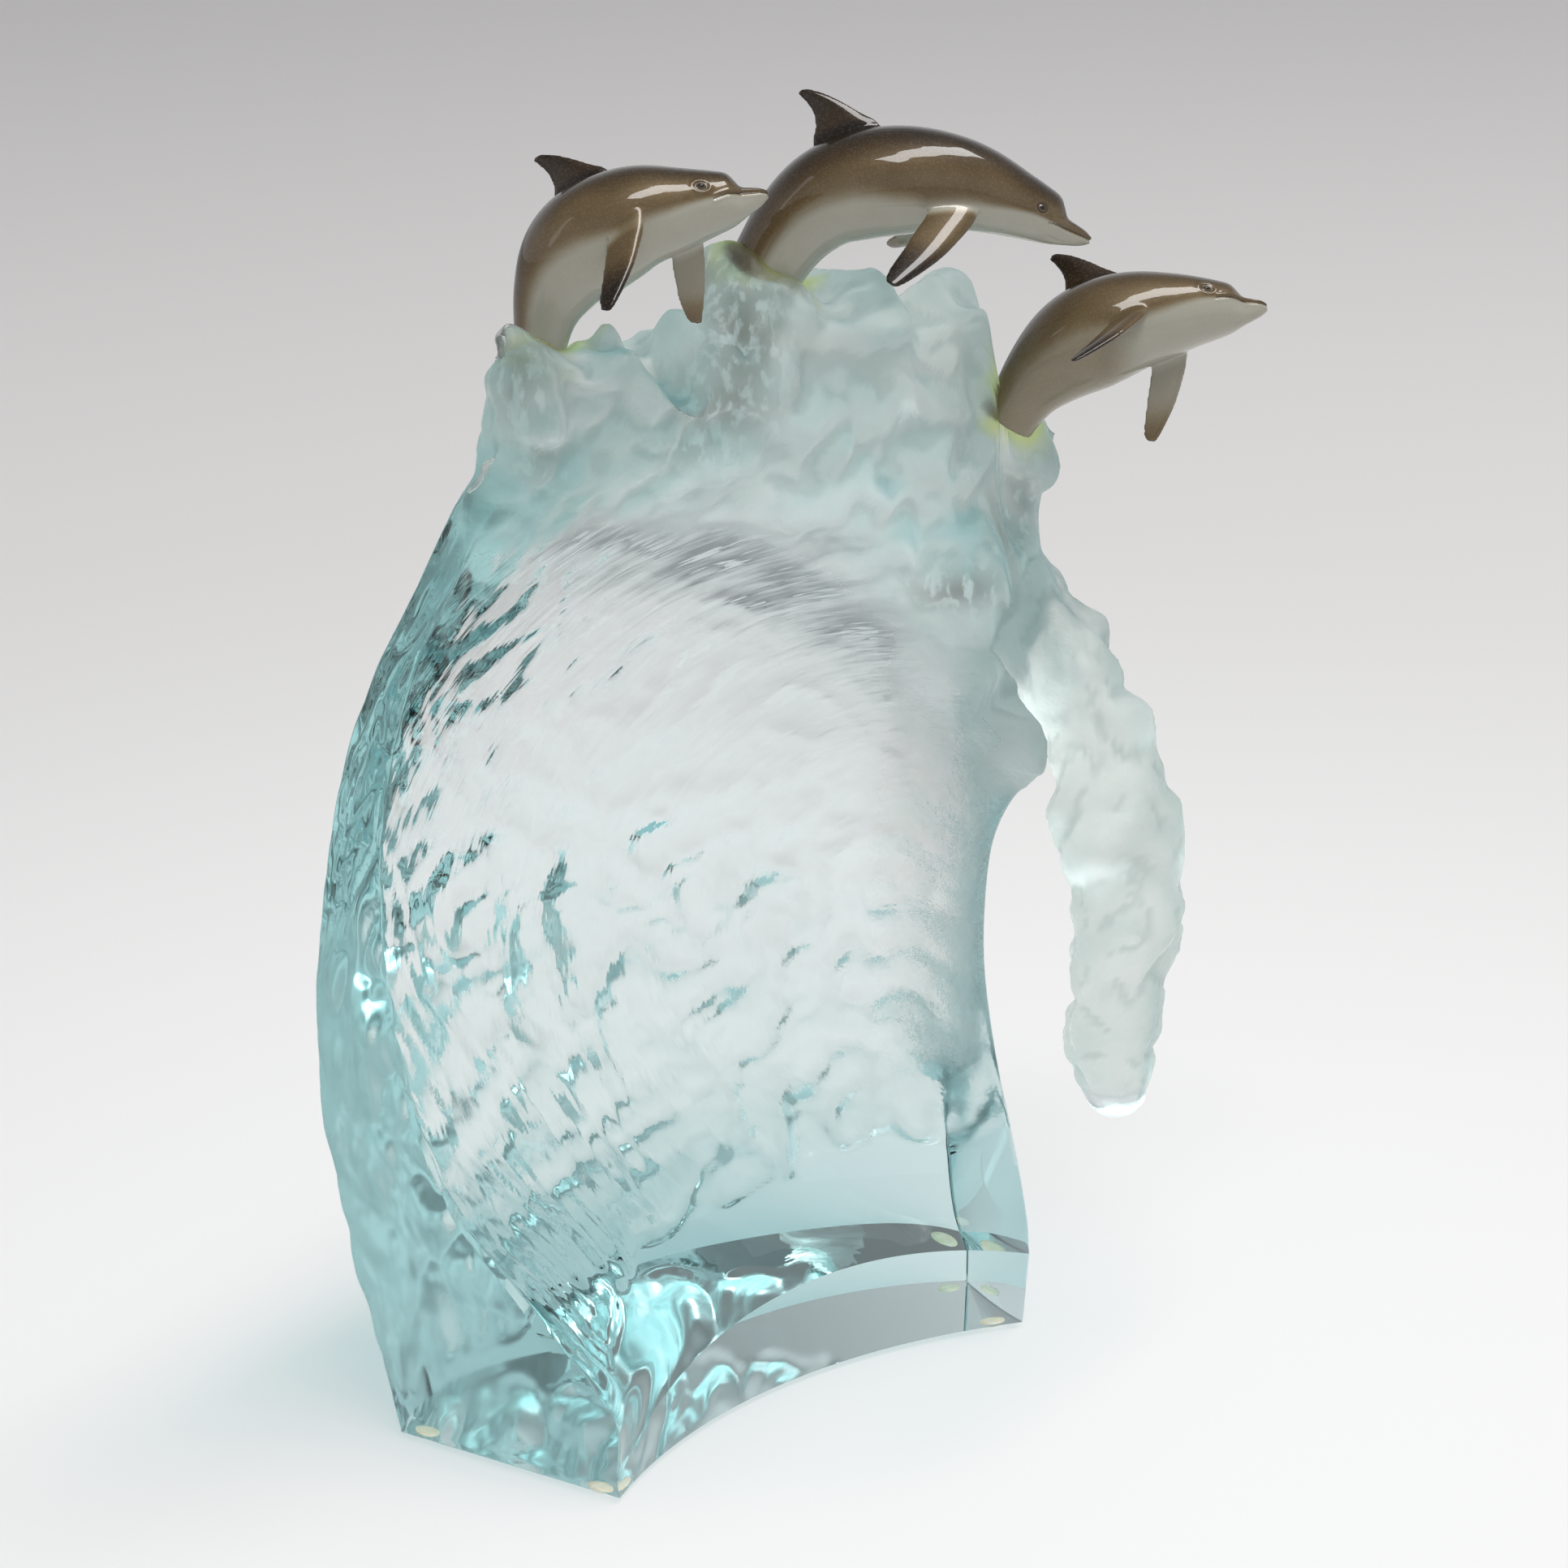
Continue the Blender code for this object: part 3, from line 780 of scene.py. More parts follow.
@dataclass
class Wave:
    """The acrylic wave: polished clear body, rippled face, frosted crest and lip."""

    form: WaveForm
    lip: LipForm
    name: str = "wave_body"
    node: str = "acrylic_wave"
    count: int = 236
    stations: int = 140
    cap_steps: int = 12
    edge_round: float = 0.0005
    foam_round: float = 0.0075
    right_round: float = 0.0230
    billow: float = 0.0025
    billow_grain: float = 0.012
    crease: float = 0.0006
    crease_grain: float = 0.0056
    ripple: float = 0.0013
    back_lump: float = 0.0023
    back_crease: float = 0.0005
    milk: float = 0.42
    right_frost: float = 0.98
    stain_strength: float = 0.95
    smudge_strength: float = 0.32
    swirl_place: tuple[float, float] = (0.95, 0.125)
    grime_spots: Rows = (
        (-0.0715, 0.331, 0.009, 0.014, 0.52), (-0.0665, 0.308, 0.007, 0.013, 0.40),
        (-0.0120, 0.336, 0.011, 0.020, 0.78), (-0.0165, 0.317, 0.014, 0.012, 0.62),
        (-0.0220, 0.347, 0.006, 0.008, 0.60), (0.0500, 0.252, 0.012, 0.006, 0.80),
        (0.0660, 0.268, 0.008, 0.014, 0.45), (-0.0260, 0.303, 0.010, 0.006, 0.45),
    )

    def spots(self) -> np.ndarray:
        """Places along the wave, closer together at both ends where the edges are rounded."""
        length = self.form.base_radius * (self.form.base_from - self.form.base_to)
        near = np.array((0.0, 0.00015, 0.0005, 0.0012, 0.0022, 0.0036)) / length
        between = np.linspace(0.0054 / length, 1 - 0.0054 / length, self.stations)
        return np.concatenate((near, between, (1 - near)[::-1]))

    def foot_line(self, t: np.ndarray) -> np.ndarray:
        """The height at which the rippled face ends above the smooth scoop."""
        return np.interp(t, (0.0, 0.10, 0.30, 0.50, 0.75, 1.0), (0.024, 0.036, 0.054, 0.066, 0.060, 0.052))

    def rounding(self, distance: np.ndarray, radius: np.ndarray) -> np.ndarray:
        """How far the outline draws in at a distance from an end that is rounded by a radius."""
        left = np.clip(radius - distance, 0.0, None)
        return radius - np.sqrt(np.clip(radius**2 - left**2, 0.0, None))

    def build(self, dolphin_points: np.ndarray, tails: list[Vector]) -> bpy.types.Object:
        """Builds the wave with its lip.

        Args:
            dolphin_points: Vertices of the dolphins, for the glue stains where they meet the foam.
            tails: Where the dolphins' tails leave the crest.

        Returns:
            The finished piece, still without a material.
        """
        form = self.form
        t_row = self.spots()
        outlines = np.array([form.section(t, self.count) for t in t_row])
        stations, ring = outlines.shape[:2]
        after, before = np.roll(outlines, -1, 1), np.roll(outlines, 1, 1)
        along = after - before
        along /= np.linalg.norm(along, axis=2, keepdims=True)
        out = np.stack((-along[:, :, 1], along[:, :, 0]), axis=2)
        base = np.array([form.places(t, outline) for t, outline in zip(t_row, outlines)])
        t = np.repeat(t_row[:, None], ring, 1)
        up = outlines[:, :, 1]

        is_front = np.zeros(ring, bool)
        is_front[2:self.count + 1] = True
        is_rear = np.zeros(ring, bool)
        is_rear[self.count + 1:-1] = True
        front, rear = np.repeat(is_front[None], stations, 0), np.repeat(is_rear[None], stations, 0)
        brow = np.array([form.corner(form.brow, x).y for x in t_row])[:, None]
        nape = np.array([form.corner(form.nape, x).y for x in t_row])[:, None]
        share = np.clip((up - np.where(np.arange(ring) <= self.count, brow, nape) + 0.012) / 0.024, 0, 1)

        offset = self.foam(base, share)
        ripples, swirl = self.ripples(t, up, front * (1 - share))
        offset += ripples + self.back_lumps(base, t, up, rear * (1 - share))
        length = form.base_radius * (form.base_from - form.base_to)
        end = np.minimum(t, 1 - t) * length
        radius = self.edge_round + (self.foam_round - self.edge_round) * share
        tall = ease(0.045, 0.085, up) * (1 - ease(0.160, 0.260, up))
        radius += self.right_round * (t > 0.5) * tall * (0.08 * front + rear)
        offset -= self.rounding(end, radius)
        shaped = outlines + out * offset[:, :, None]
        rings = np.array([form.places(x, outline) for x, outline in zip(t_row, shaped)])

        frost = self.frost(base, t, up, front, rear, brow, nape)
        flow = front * (1 - share) * (0.35 + 0.65 * ease(0.0, 0.03, up - self.foot_line(t)))
        masks = {"frost": frost, "flow": flow * ease(0.001, 0.02, up - self.foot_line(t)), "share": share}
        masks = {key: value.reshape(-1) for key, value in masks.items()}
        masks["swirl"] = swirl.reshape(-1, 3)
        points, faces, masks = self.caps(rings, masks)

        piece = new_piece(self.name, points, faces)
        points = soften(points, edges_of(piece.data), 0.5 * masks["share"], 5)
        move_points(piece.data, points)
        self.mark_edges(piece.data, stations, ring, masks["share"])
        self.add_lip(piece, points, masks)
        self.dress(piece.data, dolphin_points, tails)
        return piece

    def foam(self, base: np.ndarray, share: np.ndarray) -> np.ndarray:
        """How far the foam stands proud at each place."""
        offset = np.zeros(share.size)
        where = share.reshape(-1) > 0.001
        places = base.reshape(-1, 3)[where]
        swell = self.form.foam_swell * lumps(places, self.form.foam_grain)
        swell += self.billow * creases(places, self.billow_grain, 2.0)
        swell += self.crease * creases(places, self.crease_grain, 9.0)
        offset[where] = swell * share.reshape(-1)[where]
        return offset.reshape(share.shape)

    def ripples(self, t: np.ndarray, up: np.ndarray, share: np.ndarray) -> tuple[np.ndarray, np.ndarray]:
        """The water's ripples on the hollow face, which run round the break of the wave.

        Args:
            t: Place along the wave of each point of the grid.
            up: Height of each.
            share: Where the face is.

        Returns:
            How far each place stands proud, and the pattern's own coordinates for fine ripples.
        """
        aside = (t - self.swirl_place[0]) * 0.200
        rise = up - self.swirl_place[1]
        radius = np.hypot(aside, rise)
        turn = np.arctan2(rise, -aside)
        flat = np.stack((radius, turn * 0.085, 0.15 * aside), axis=2)
        where = (share > 0.001).reshape(-1)
        inside = flat.reshape(-1, 3)[where]
        value = np.zeros(t.size)
        wander = 0.006 * uneven(inside, 0.045, 4.0)
        bent = inside + np.stack((wander, wander * 0, wander * 0), axis=1)
        coarse = uneven(bent, (0.0085, 0.022, 0.02), 1.0)
        middle = uneven(bent, (0.0045, 0.012, 0.02), 6.0)
        spot_t, spot_up = t.reshape(-1)[where], up.reshape(-1)[where]
        low_left = np.exp(-((spot_t - 0.12) / 0.30) ** 2 - ((spot_up - 0.085) / 0.060) ** 2)
        left_edge = 0.40 * bell(spot_t, 0.03, 0.07)
        run = spot_t * 0.200 + 0.40 * spot_up + 0.003 * uneven(inside, 0.020, 2.0)
        drawn = np.stack((run, spot_up, run * 0), axis=1)
        flame = 1.3 * uneven(drawn, (0.0042, 0.020, 1.0), 3.0) + 0.5 * uneven(drawn, (0.0024, 0.011, 1.0), 8.0)
        above = spot_up - self.foot_line(spot_t) - 0.004 * uneven(inside, 0.012, 8.0)
        step = ease(-0.001, 0.004, above) * (1 - 0.75 * ease(0.78, 0.92, spot_t))
        shape = 0.12 * (coarse * 1.3 + 0.45 * middle) + np.clip(low_left + left_edge, 0, 1) * flame
        shape += 0.7 * bell(above, 0.004, 0.004) * (1 - ease(0.35, 0.60, spot_t))
        value[where] = self.ripple * shape * step
        stretched = flat / np.array((0.0038, 0.0100, 0.02))
        return value.reshape(t.shape) * share, stretched

    def shore(self, t: np.ndarray) -> np.ndarray:
        """The height at which the back's lumps end in a ledge above its smooth foot."""
        return 0.010 + 0.024 * ease(0.50, 0.95, t)

    def back_lumps(self, base: np.ndarray, t: np.ndarray, up: np.ndarray, share: np.ndarray) -> np.ndarray:
        """Carved lumps and creases on the back, above a smooth clear foot."""
        offset = np.zeros(up.size)
        where = share.reshape(-1) > 0.001
        places = base.reshape(-1, 3)[where]
        height = up.reshape(-1)[where] + 0.008 * uneven(places, 0.020, 11.0)
        edge = self.shore(t.reshape(-1)[where])
        strength = ease(edge, edge + 0.0035, height) * (0.25 + 0.75 * (1 - ease(0.125, 0.190, height)))
        value = self.back_lump * (creases(places, 0.021, 5.0) + 0.4)
        value = value + self.back_crease * creases(places, 0.009, 2.0)
        strength = strength * (0.35 + 0.65 * ease(0.02, 0.30, t.reshape(-1)[where]))
        offset[where] = value * strength
        return offset.reshape(up.shape) * share

    def frost(
        self, base: np.ndarray, t: np.ndarray, up: np.ndarray, front: np.ndarray, rear: np.ndarray,
        brow: np.ndarray, nape: np.ndarray,
    ) -> np.ndarray:
        """How frosted each place is: the crest and the right end's rear most, the back's lumps in part."""
        cloud = uneven(base, 0.030, 3.0).reshape(t.shape)
        high = np.where(front, brow, nape)
        crest = ease(-0.036, 0.006, up - high + 0.014 * cloud) ** 1.6
        low_edge = self.shore(t) - 0.008 * uneven(base, 0.020, 11.0).reshape(t.shape)
        milk = rear * ease(0.0, 0.004, up - low_edge) * (1 - ease(0.110, 0.175, up + 0.02 * cloud))
        crest = np.maximum(crest, ease(0.90, 0.97, t) * ease(0.150, 0.185, up + 0.010 * cloud))
        right = rear * ease(0.86, 0.95, t) * ease(0.045, 0.075, up)
        return np.clip(np.maximum(crest, np.maximum(self.milk * milk, self.right_frost * right)), 0, 1)

    def caps(
        self, rings: np.ndarray, masks: dict[str, np.ndarray]
    ) -> tuple[np.ndarray, list[list[int]], dict[str, np.ndarray]]:
        """Joins the rings and closes both ends with a grid between the front and the back.

        Args:
            rings: The rings of points.
            masks: Values for those points, which the new points of the ends add to.

        Returns:
            All points, all faces and the longer masks.
        """
        stations, ring = rings.shape[:2]
        points = [rings.reshape(-1, 3)]
        faces = []
        for i in range(stations - 1):
            low, high = i * ring, (i + 1) * ring
            for k in range(ring - 1):
                faces.append([low + k, low + k + 1, high + k + 1, high + k])
            if 0 < i < stations - 2:
                faces.append([low + ring - 1, low, high, high + ring - 1])
        total = stations * ring
        grown = {key: [value] for key, value in masks.items()}
        for station in (0, stations - 1):
            first = station * ring
            front = np.arange(first, first + self.count + 1)
            rear = first + ring - 1 - np.arange(self.count)
            side = np.array(self.form.side_of(0.0 if station == 0 else 1.0)) * (-1 if station == 0 else 1)
            columns = [front[:self.count]]
            for m in range(1, self.cap_steps):
                share = m / self.cap_steps
                spots = points[0][front[:self.count]] * (1 - share) + points[0][rear] * share
                values = {
                    key: value[front[:self.count]] * (1 - share) + value[rear] * share
                    for key, value in masks.items()
                }
                values["flow"] = values["flow"] * 0
                bulge = values["share"] * (0.0012 + 0.0016 * creases(spots, 0.014, 2.0))
                points.append(spots + side * bulge[:, None])
                for key, value in values.items():
                    grown[key].append(value)
                columns.append(np.arange(total, total + self.count))
                total += self.count
            columns.append(rear)
            next_foot = first + (ring if station == 0 else -ring)
            faces.append([int(column[0]) for column in columns] + [next_foot + ring - 1, next_foot])
            crest = int(front[-1])
            for a, b in zip(columns, columns[1:]):
                for k in range(self.count - 1):
                    faces.append([int(a[k]), int(b[k]), int(b[k + 1]), int(a[k + 1])])
                faces.append([int(a[-1]), int(b[-1]), crest])
        return np.concatenate(points), faces, {key: np.concatenate(value) for key, value in grown.items()}

    def mark_edges(self, mesh: bpy.types.Mesh, stations: int, ring: int, share: np.ndarray) -> None:
        """Keeps the polished edges crisp: the base, the top of the band and the ends where not rounded."""
        edges = edges_of(mesh)
        on_ring = (edges < stations * ring).all(axis=1)
        place, station = edges % ring, edges // ring
        along = on_ring & (place[:, 0] == place[:, 1]) & np.isin(place[:, 0], (0, 1, ring - 1))
        at_end = np.isin(station[:, 0], (0, stations - 1)) & (station[:, 0] == station[:, 1])
        rounded = (station[:, 0] > 0) & (points_of(mesh)[edges[:, 0], 2] > 0.052)
        end = on_ring & at_end & ~rounded & (share[edges].max(axis=1) < 0.3)
        mesh.attributes.new("sharp_edge", "BOOLEAN", "EDGE").data.foreach_set("value", along | end)

    def add_lip(self, piece: bpy.types.Object, points: np.ndarray, masks: dict[str, np.ndarray]) -> None:
        """Unites the wave with its lip, softens the joint and gives both their masks."""
        lip_points = self.lip.build(self.form)
        tool = new_piece("lip_tool", lip_points, tube_faces(self.lip.rings, self.lip.sides))
        modifier = piece.modifiers.new("lip", "BOOLEAN")
        modifier.operation = "UNION"
        modifier.object = tool
        modifier.solver = "EXACT"
        applied(piece, tool)
        mesh = piece.data

        lip_up = lip_points[:, 2] + 0.002 * uneven(lip_points, 0.008, 5.0)
        joined = {
            "frost": np.concatenate((masks["frost"], ease(0.1000, 0.1085, lip_up))),
            "flow": np.concatenate((masks["flow"], np.zeros(len(lip_points)))),
            "share": np.concatenate((masks["share"], np.ones(len(lip_points)))),
            "swirl": np.concatenate((masks["swirl"], np.zeros((len(lip_points), 3)))),
        }
        tree = tree_of(np.concatenate((points, lip_points)))
        made = points_of(mesh)
        found = [tree.find(point)[1:] for point in made.tolist()]
        source = np.array([index for index, _ in found])
        away = np.array([distance for _, distance in found])
        new = made[away > 1e-5]
        joint = tree_of(new)
        near = np.array([joint.find(point)[2] for point in made.tolist()])
        weight = 0.5 * (1 - ease(0.001, 0.005, near))
        move_points(mesh, soften(made, edges_of(mesh), weight, 5))
        for key, values in joined.items():
            if key != "share":
                store(mesh, key, values[source])

    def dress(self, mesh: bpy.types.Mesh, dolphin_points: np.ndarray, tails: list[Vector]) -> None:
        """Moves the mesh into the frame, keeps it in the CAD's box and marks glue, grime and the painted shade
        of the creases.
        """
        shift = np.array(self.form.shift())
        low, high = np.array(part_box(self.node)[0]), np.array(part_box(self.node)[1])
        points = np.clip(points_of(mesh) + shift, low, high)
        move_points(mesh, points)
        tree = tree_of(dolphin_points[::3])
        tail_places = np.array([tuple(tail) for tail in tails])
        to_tail = np.linalg.norm(points[:, None] - tail_places[None], axis=2).min(axis=1)
        close = to_tail < 0.055
        away = np.full(len(points), 1.0)
        away[close] = [tree.find(point)[2] for point in points[close].tolist()]
        patch = np.zeros(len(points))
        patch[close] = uneven(points[close], 0.009, 4.0)
        grime = np.zeros(len(points))
        grime[close] = uneven(points[close], (0.010, 0.010, 0.020), 14.0)
        reach = 0.0056 + 0.0075 * np.clip(patch + 0.25, 0, 1)
        stain = (1 - ease(0.0010, reach, away)) * self.stain_strength
        smudge = np.clip(0.35 + 1.3 * grime, 0, 1) * (1 - ease(0.010, 0.034, to_tail)) * self.smudge_strength
        for x, z, half_width, half_height, strength in self.grime_spots:
            spread = ((points[:, 0] - x) / half_width) ** 2 + ((points[:, 2] - z) / half_height) ** 2
            smudge = np.maximum(smudge, strength * np.exp(-spread))
        store(mesh, "stain", stain)
        store(mesh, "smudge", smudge)
        edges = edges_of(mesh)
        # Painted shade for the creases: how far each place lies below its smoothed neighbours, at two sizes of
        # crease.
        dip = np.zeros(len(points))
        for rounds, depth in ((6, 0.00035), (30, 0.0011)):
            calm = soften(points, edges, np.full(len(points), 0.8), rounds)
            dip += np.clip(((calm - points) * normals_of(mesh)).sum(axis=1) / depth, 0, 1)
        store(mesh, "hollow", np.clip(dip, 0, 1))


# ---------------------------------------------------------------- the dolphins


class FinKind(Enum):
    """The two shapes of fin: outward reach, chord, sweep and thickness per girth, root to tip."""

    DORSAL = (
        (-0.30, 1.36, -0.20, 0.26), (0.06, 1.22, -0.10, 0.24), (0.30, 0.86, 0.14, 0.20),
        (0.56, 0.60, 0.38, 0.16), (0.80, 0.42, 0.64, 0.13), (0.95, 0.28, 0.86, 0.10),
        (1.01, 0.10, 0.97, 0.05),
    )
    FLIPPER = (
        (-0.40, 0.74, -0.03, 0.26), (0.15, 0.72, 0.10, 0.24), (0.55, 0.68, 0.30, 0.20),
        (0.95, 0.60, 0.55, 0.17), (1.32, 0.46, 0.86, 0.14), (1.55, 0.30, 1.08, 0.10),
        (1.64, 0.10, 1.20, 0.06),
    )


@dataclass(frozen=True)
class Fin:
    """A fin: its place on the spine, the angles at which it grows and points, size and sweep."""

    kind: FinKind
    place: float
    root_angle: float
    out_angle: float
    size: float
    sweep: float


BODY: Rows = (
    (0.00, 1.00, 1.00, 1.00), (0.42, 0.98, 1.00, 1.00), (0.50, 0.96, 0.97, 0.98),
    (0.60, 0.88, 0.87, 0.89), (0.70, 0.76, 0.74, 0.76), (0.78, 0.65, 0.62, 0.63),
    (0.84, 0.55, 0.54, 0.53), (0.880, 0.46, 0.47, 0.46), (0.902, 0.36, 0.31, 0.41),
    (0.917, 0.28, 0.185, 0.37), (0.95, 0.21, 0.150, 0.27), (0.98, 0.155, 0.120, 0.17), (1.00, 0.07, 0.06, 0.07),
)


@dataclass
class Dolphin:
    """A painted dolphin whose spine bends in an upright plane along X, rolled about its spine."""

    form: WaveForm
    node: str
    tail: Row
    girth: float
    tail_girth: float
    roll: float
    spine_points: Rows
    fins: tuple[Fin, ...]
    eye: tuple[float, float]
    mouth: Rows
    belly: Rows = (
        (0.00, 82, 112), (0.20, 86, 114), (0.40, 100, 124), (0.54, 118, 136), (0.66, 108, 128),
        (0.80, 103, 116), (0.90, 100, 108), (1.00, 97, 105),
    )
    rear_belly: float = 0.85
    voxel: float = 0.00042
    rings: int = 150
    sides: int = 48
    fin_steps: int = 26
    fin_sides: int = 28
    skin_passes: int = 5

    def __post_init__(self) -> None:
        """Measures the spine."""
        points = [Vector(point) for point in self.spine_points]
        steps = [(b - a).length for a, b in zip(points, points[1:])]
        self.length = sum(steps)
        self.rows = [(sum(steps[:i]) / self.length, *p) for i, p in enumerate(points)]
        self.start = self.form.place(*self.tail) + self.form.shift()

    def spine(self, s: float) -> Vector:
        """The spine's place at s, from 0 at the tail to 1 at the beak."""
        run, rise = smooth_row(self.rows, s)
        return self.start + Vector((run, 0, rise))

    def frame_at(self, s: float) -> tuple[Vector, Vector, Vector]:
        """Forward, dorsal and near-side directions at s."""
        low, high = max(s - 0.03, 0.0), min(s + 0.03, 1.0)
        forward = (self.spine(high) - self.spine(low)).normalized()
        upright = forward.cross(Vector((0, 1, 0)))
        dorsal = Matrix.Rotation(math.radians(-self.roll), 3, forward) @ upright
        return forward, dorsal, forward.cross(dorsal)

    def sizes(self, s: float) -> list[float]:
        """Half width, rise and drop of the body at s."""
        x = min(s / BODY[1][0], 1.0)
        taper = self.girth * (self.tail_girth + (1 - self.tail_girth) * x * x * (3 - 2 * x))
        return [taper * share for share in smooth_row(BODY, s)]

    def body_rings(self) -> np.ndarray:
        """The body's rings of points."""
        points = []
        for i in range(self.rings):
            s = 1 - (1 - i / (self.rings - 1)) ** 1.15
            half_width, rise, drop = self.sizes(s)
            _, dorsal, near = self.frame_at(s)
            centre = self.spine(s)
            for k in range(self.sides):
                angle = 2 * math.pi * k / self.sides
                lift = rise if math.cos(angle) > 0 else drop
                points.append(centre + dorsal * math.cos(angle) * lift + near * math.sin(angle) * half_width)
        return np.array(points)

    def fin_root(self, fin: Fin) -> tuple[Vector, Vector]:
        """A fin's root on the body and the direction in which it points."""
        _, dorsal, near = self.frame_at(fin.place)
        half_width, rise, drop = self.sizes(fin.place)
        grow, point = math.radians(fin.root_angle), math.radians(fin.out_angle)
        lift = rise if math.cos(grow) > 0 else drop
        root = self.spine(fin.place) + dorsal * math.cos(grow) * lift
        root += near * math.sin(grow) * half_width
        return root, dorsal * math.cos(point) + near * math.sin(point)

    def fin_rings(self, fin: Fin) -> np.ndarray:
        """A fin's rings of points, thick in front and thin behind."""
        forward = self.frame_at(fin.place)[0]
        root, out = self.fin_root(fin)
        flat = forward.cross(out)
        scale = self.girth * fin.size
        rows = [(float(i), *row) for i, row in enumerate(fin.kind.value)]
        points = []
        for i in range(self.fin_steps):
            x = (len(rows) - 1) * i / (self.fin_steps - 1)
            reach, chord, sweep, thickness = smooth_row(rows, x)
            behind = sweep * fin.sweep + 0.5 * (chord - fin.kind.value[0][1])
            centre = root + scale * (out * reach - forward * behind)
            for k in range(self.fin_sides):
                angle = 2 * math.pi * k / self.fin_sides
                fullness = 0.5 * thickness * (0.75 + 0.25 * math.cos(angle))
                along = forward * math.cos(angle) * 0.5 * chord
                points.append(centre + scale * (along + flat * math.sin(angle) * fullness))
        return np.array(points)

    def build(self, paint: bpy.types.Material) -> bpy.types.Object:
        points, faces = [self.body_rings()], tube_faces(self.rings, self.sides)
        for fin in self.fins:
            first = sum(len(part) for part in points)
            points.append(self.fin_rings(fin))
            faces += [[first + k for k in face] for face in tube_faces(self.fin_steps, self.fin_sides)]
        piece = new_piece(f"{self.node}_painted", np.concatenate(points), faces)
        modifier = piece.modifiers.new("skin", "REMESH")
        modifier.mode = "VOXEL"
        modifier.voxel_size = self.voxel
        applied(piece)
        piece.data.shade_smooth()
        self.detail(piece.data)
        piece.data.materials.clear()
        piece.data.materials.append(paint)
        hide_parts(self.node)
        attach(piece, "root")
        log.info("%s: %d faces", piece.name, len(piece.data.polygons))
        return piece

    def locate(self, points: np.ndarray) -> tuple[np.ndarray, np.ndarray, np.ndarray, np.ndarray]:
        """Where places are on the dolphin.

        Args:
            points: The places.

        Returns:
            Place along the spine, angle from the dorsal line in degrees (positive on the near
            side), distance from the spine, and that distance as a share of the body's own.
        """
        samples = np.linspace(0, 1, 260)
        spine = np.array([tuple(self.spine(s)) for s in samples])
        frames = np.array([[tuple(way) for way in self.frame_at(s)] for s in samples])
        sizes = np.array([self.sizes(s) for s in samples])
        nearest = np.concatenate([
            ((part[:, None] - spine[None]) ** 2).sum(axis=2).argmin(axis=1)
            for part in np.array_split(points, max(1, len(points) // 4000))
        ])
        away = points - spine[nearest]
        ahead, dorsal, near = (np.einsum("ij,ij->i", away, frames[nearest, k]) for k in range(3))
        s = np.clip(samples[nearest] + ahead / self.length, 0, 1)
        lift = np.where(dorsal > 0, sizes[nearest, 1], sizes[nearest, 2])
        fullness = np.hypot(dorsal / lift, near / sizes[nearest, 0])
        angle = np.degrees(np.arctan2(near / sizes[nearest, 0], dorsal / lift))
        return s, angle, np.hypot(dorsal, near), fullness

    def detail(self, mesh: bpy.types.Mesh) -> None:
        """Smooths the skin, carves the eyes, mouth and blowhole, and lays out the paint."""
        edges = edges_of(mesh)
        points = soften(points_of(mesh), edges, np.full(len(mesh.vertices), 0.5), self.skin_passes)
        s, angle, radius, fullness = self.locate(points)
        turn = np.abs(angle)

        eye_ahead = (s - self.eye[0]) * self.length
        eye_around = np.radians(turn - self.eye[1]) * radius
        eye = np.hypot(eye_ahead, 1.25 * eye_around) * 1000
        mouth_angle = np.array([row[1] for row in self.mouth])
        line = np.interp(s, [row[0] for row in self.mouth], mouth_angle)
        mouth = np.abs(np.radians(turn - line) * radius) * 1000
        mouth += 9.0 * (1 - ease(self.mouth[0][0] - 0.004, self.mouth[0][0] + 0.004, s))
        hole = np.hypot((s - self.eye[0] + 0.02) * self.length, np.radians(turn) * radius * 0.7) * 1000

        marks = (
            (0.00042, eye, 0.0, 0.85), (-0.00034, eye, 1.5, 0.42), (0.00016, eye, 2.4, 0.6),
            (-0.00042, mouth, 0.0, 0.36), (0.00016, mouth, 0.9, 0.5), (-0.0004, hole, 0.0, 0.7),
        )
        carve = sum(height * bell(away, middle, width) for height, away, middle, width in marks)
        move_points(mesh, points)
        normals = normals_of(mesh)
        head = ease(0.70, 0.74, s) * (fullness < 1.5)
        move_points(mesh, points + normals * (carve * head)[:, None])

        cloud = uneven(points, 0.016, 3.0) * 6.0
        spots = [row[0] for row in self.belly]
        low = np.interp(s, spots, [row[1] for row in self.belly]) + cloud
        high = np.interp(s, spots, [row[2] for row in self.belly]) + cloud
        pale = np.clip((turn - low) / (high - low), 0, 1)
        pale *= self.rear_belly + (1 - self.rear_belly) * ease(0.40, 0.64, s)
        shade = 0.46 * ease(6, 92, turn + cloud) + 0.52 * pale * pale * (3 - 2 * pale)
        for fin in self.fins:
            shade = self.fin_shade(fin, points, normals, fullness, s, shade)
        store(mesh, "shade", np.clip(shade, 0, 1))
        store(mesh, "eye", np.where(head > 0.5, eye, 9.0))
        store(mesh, "mouth", np.where(head > 0.5, mouth, 9.0))

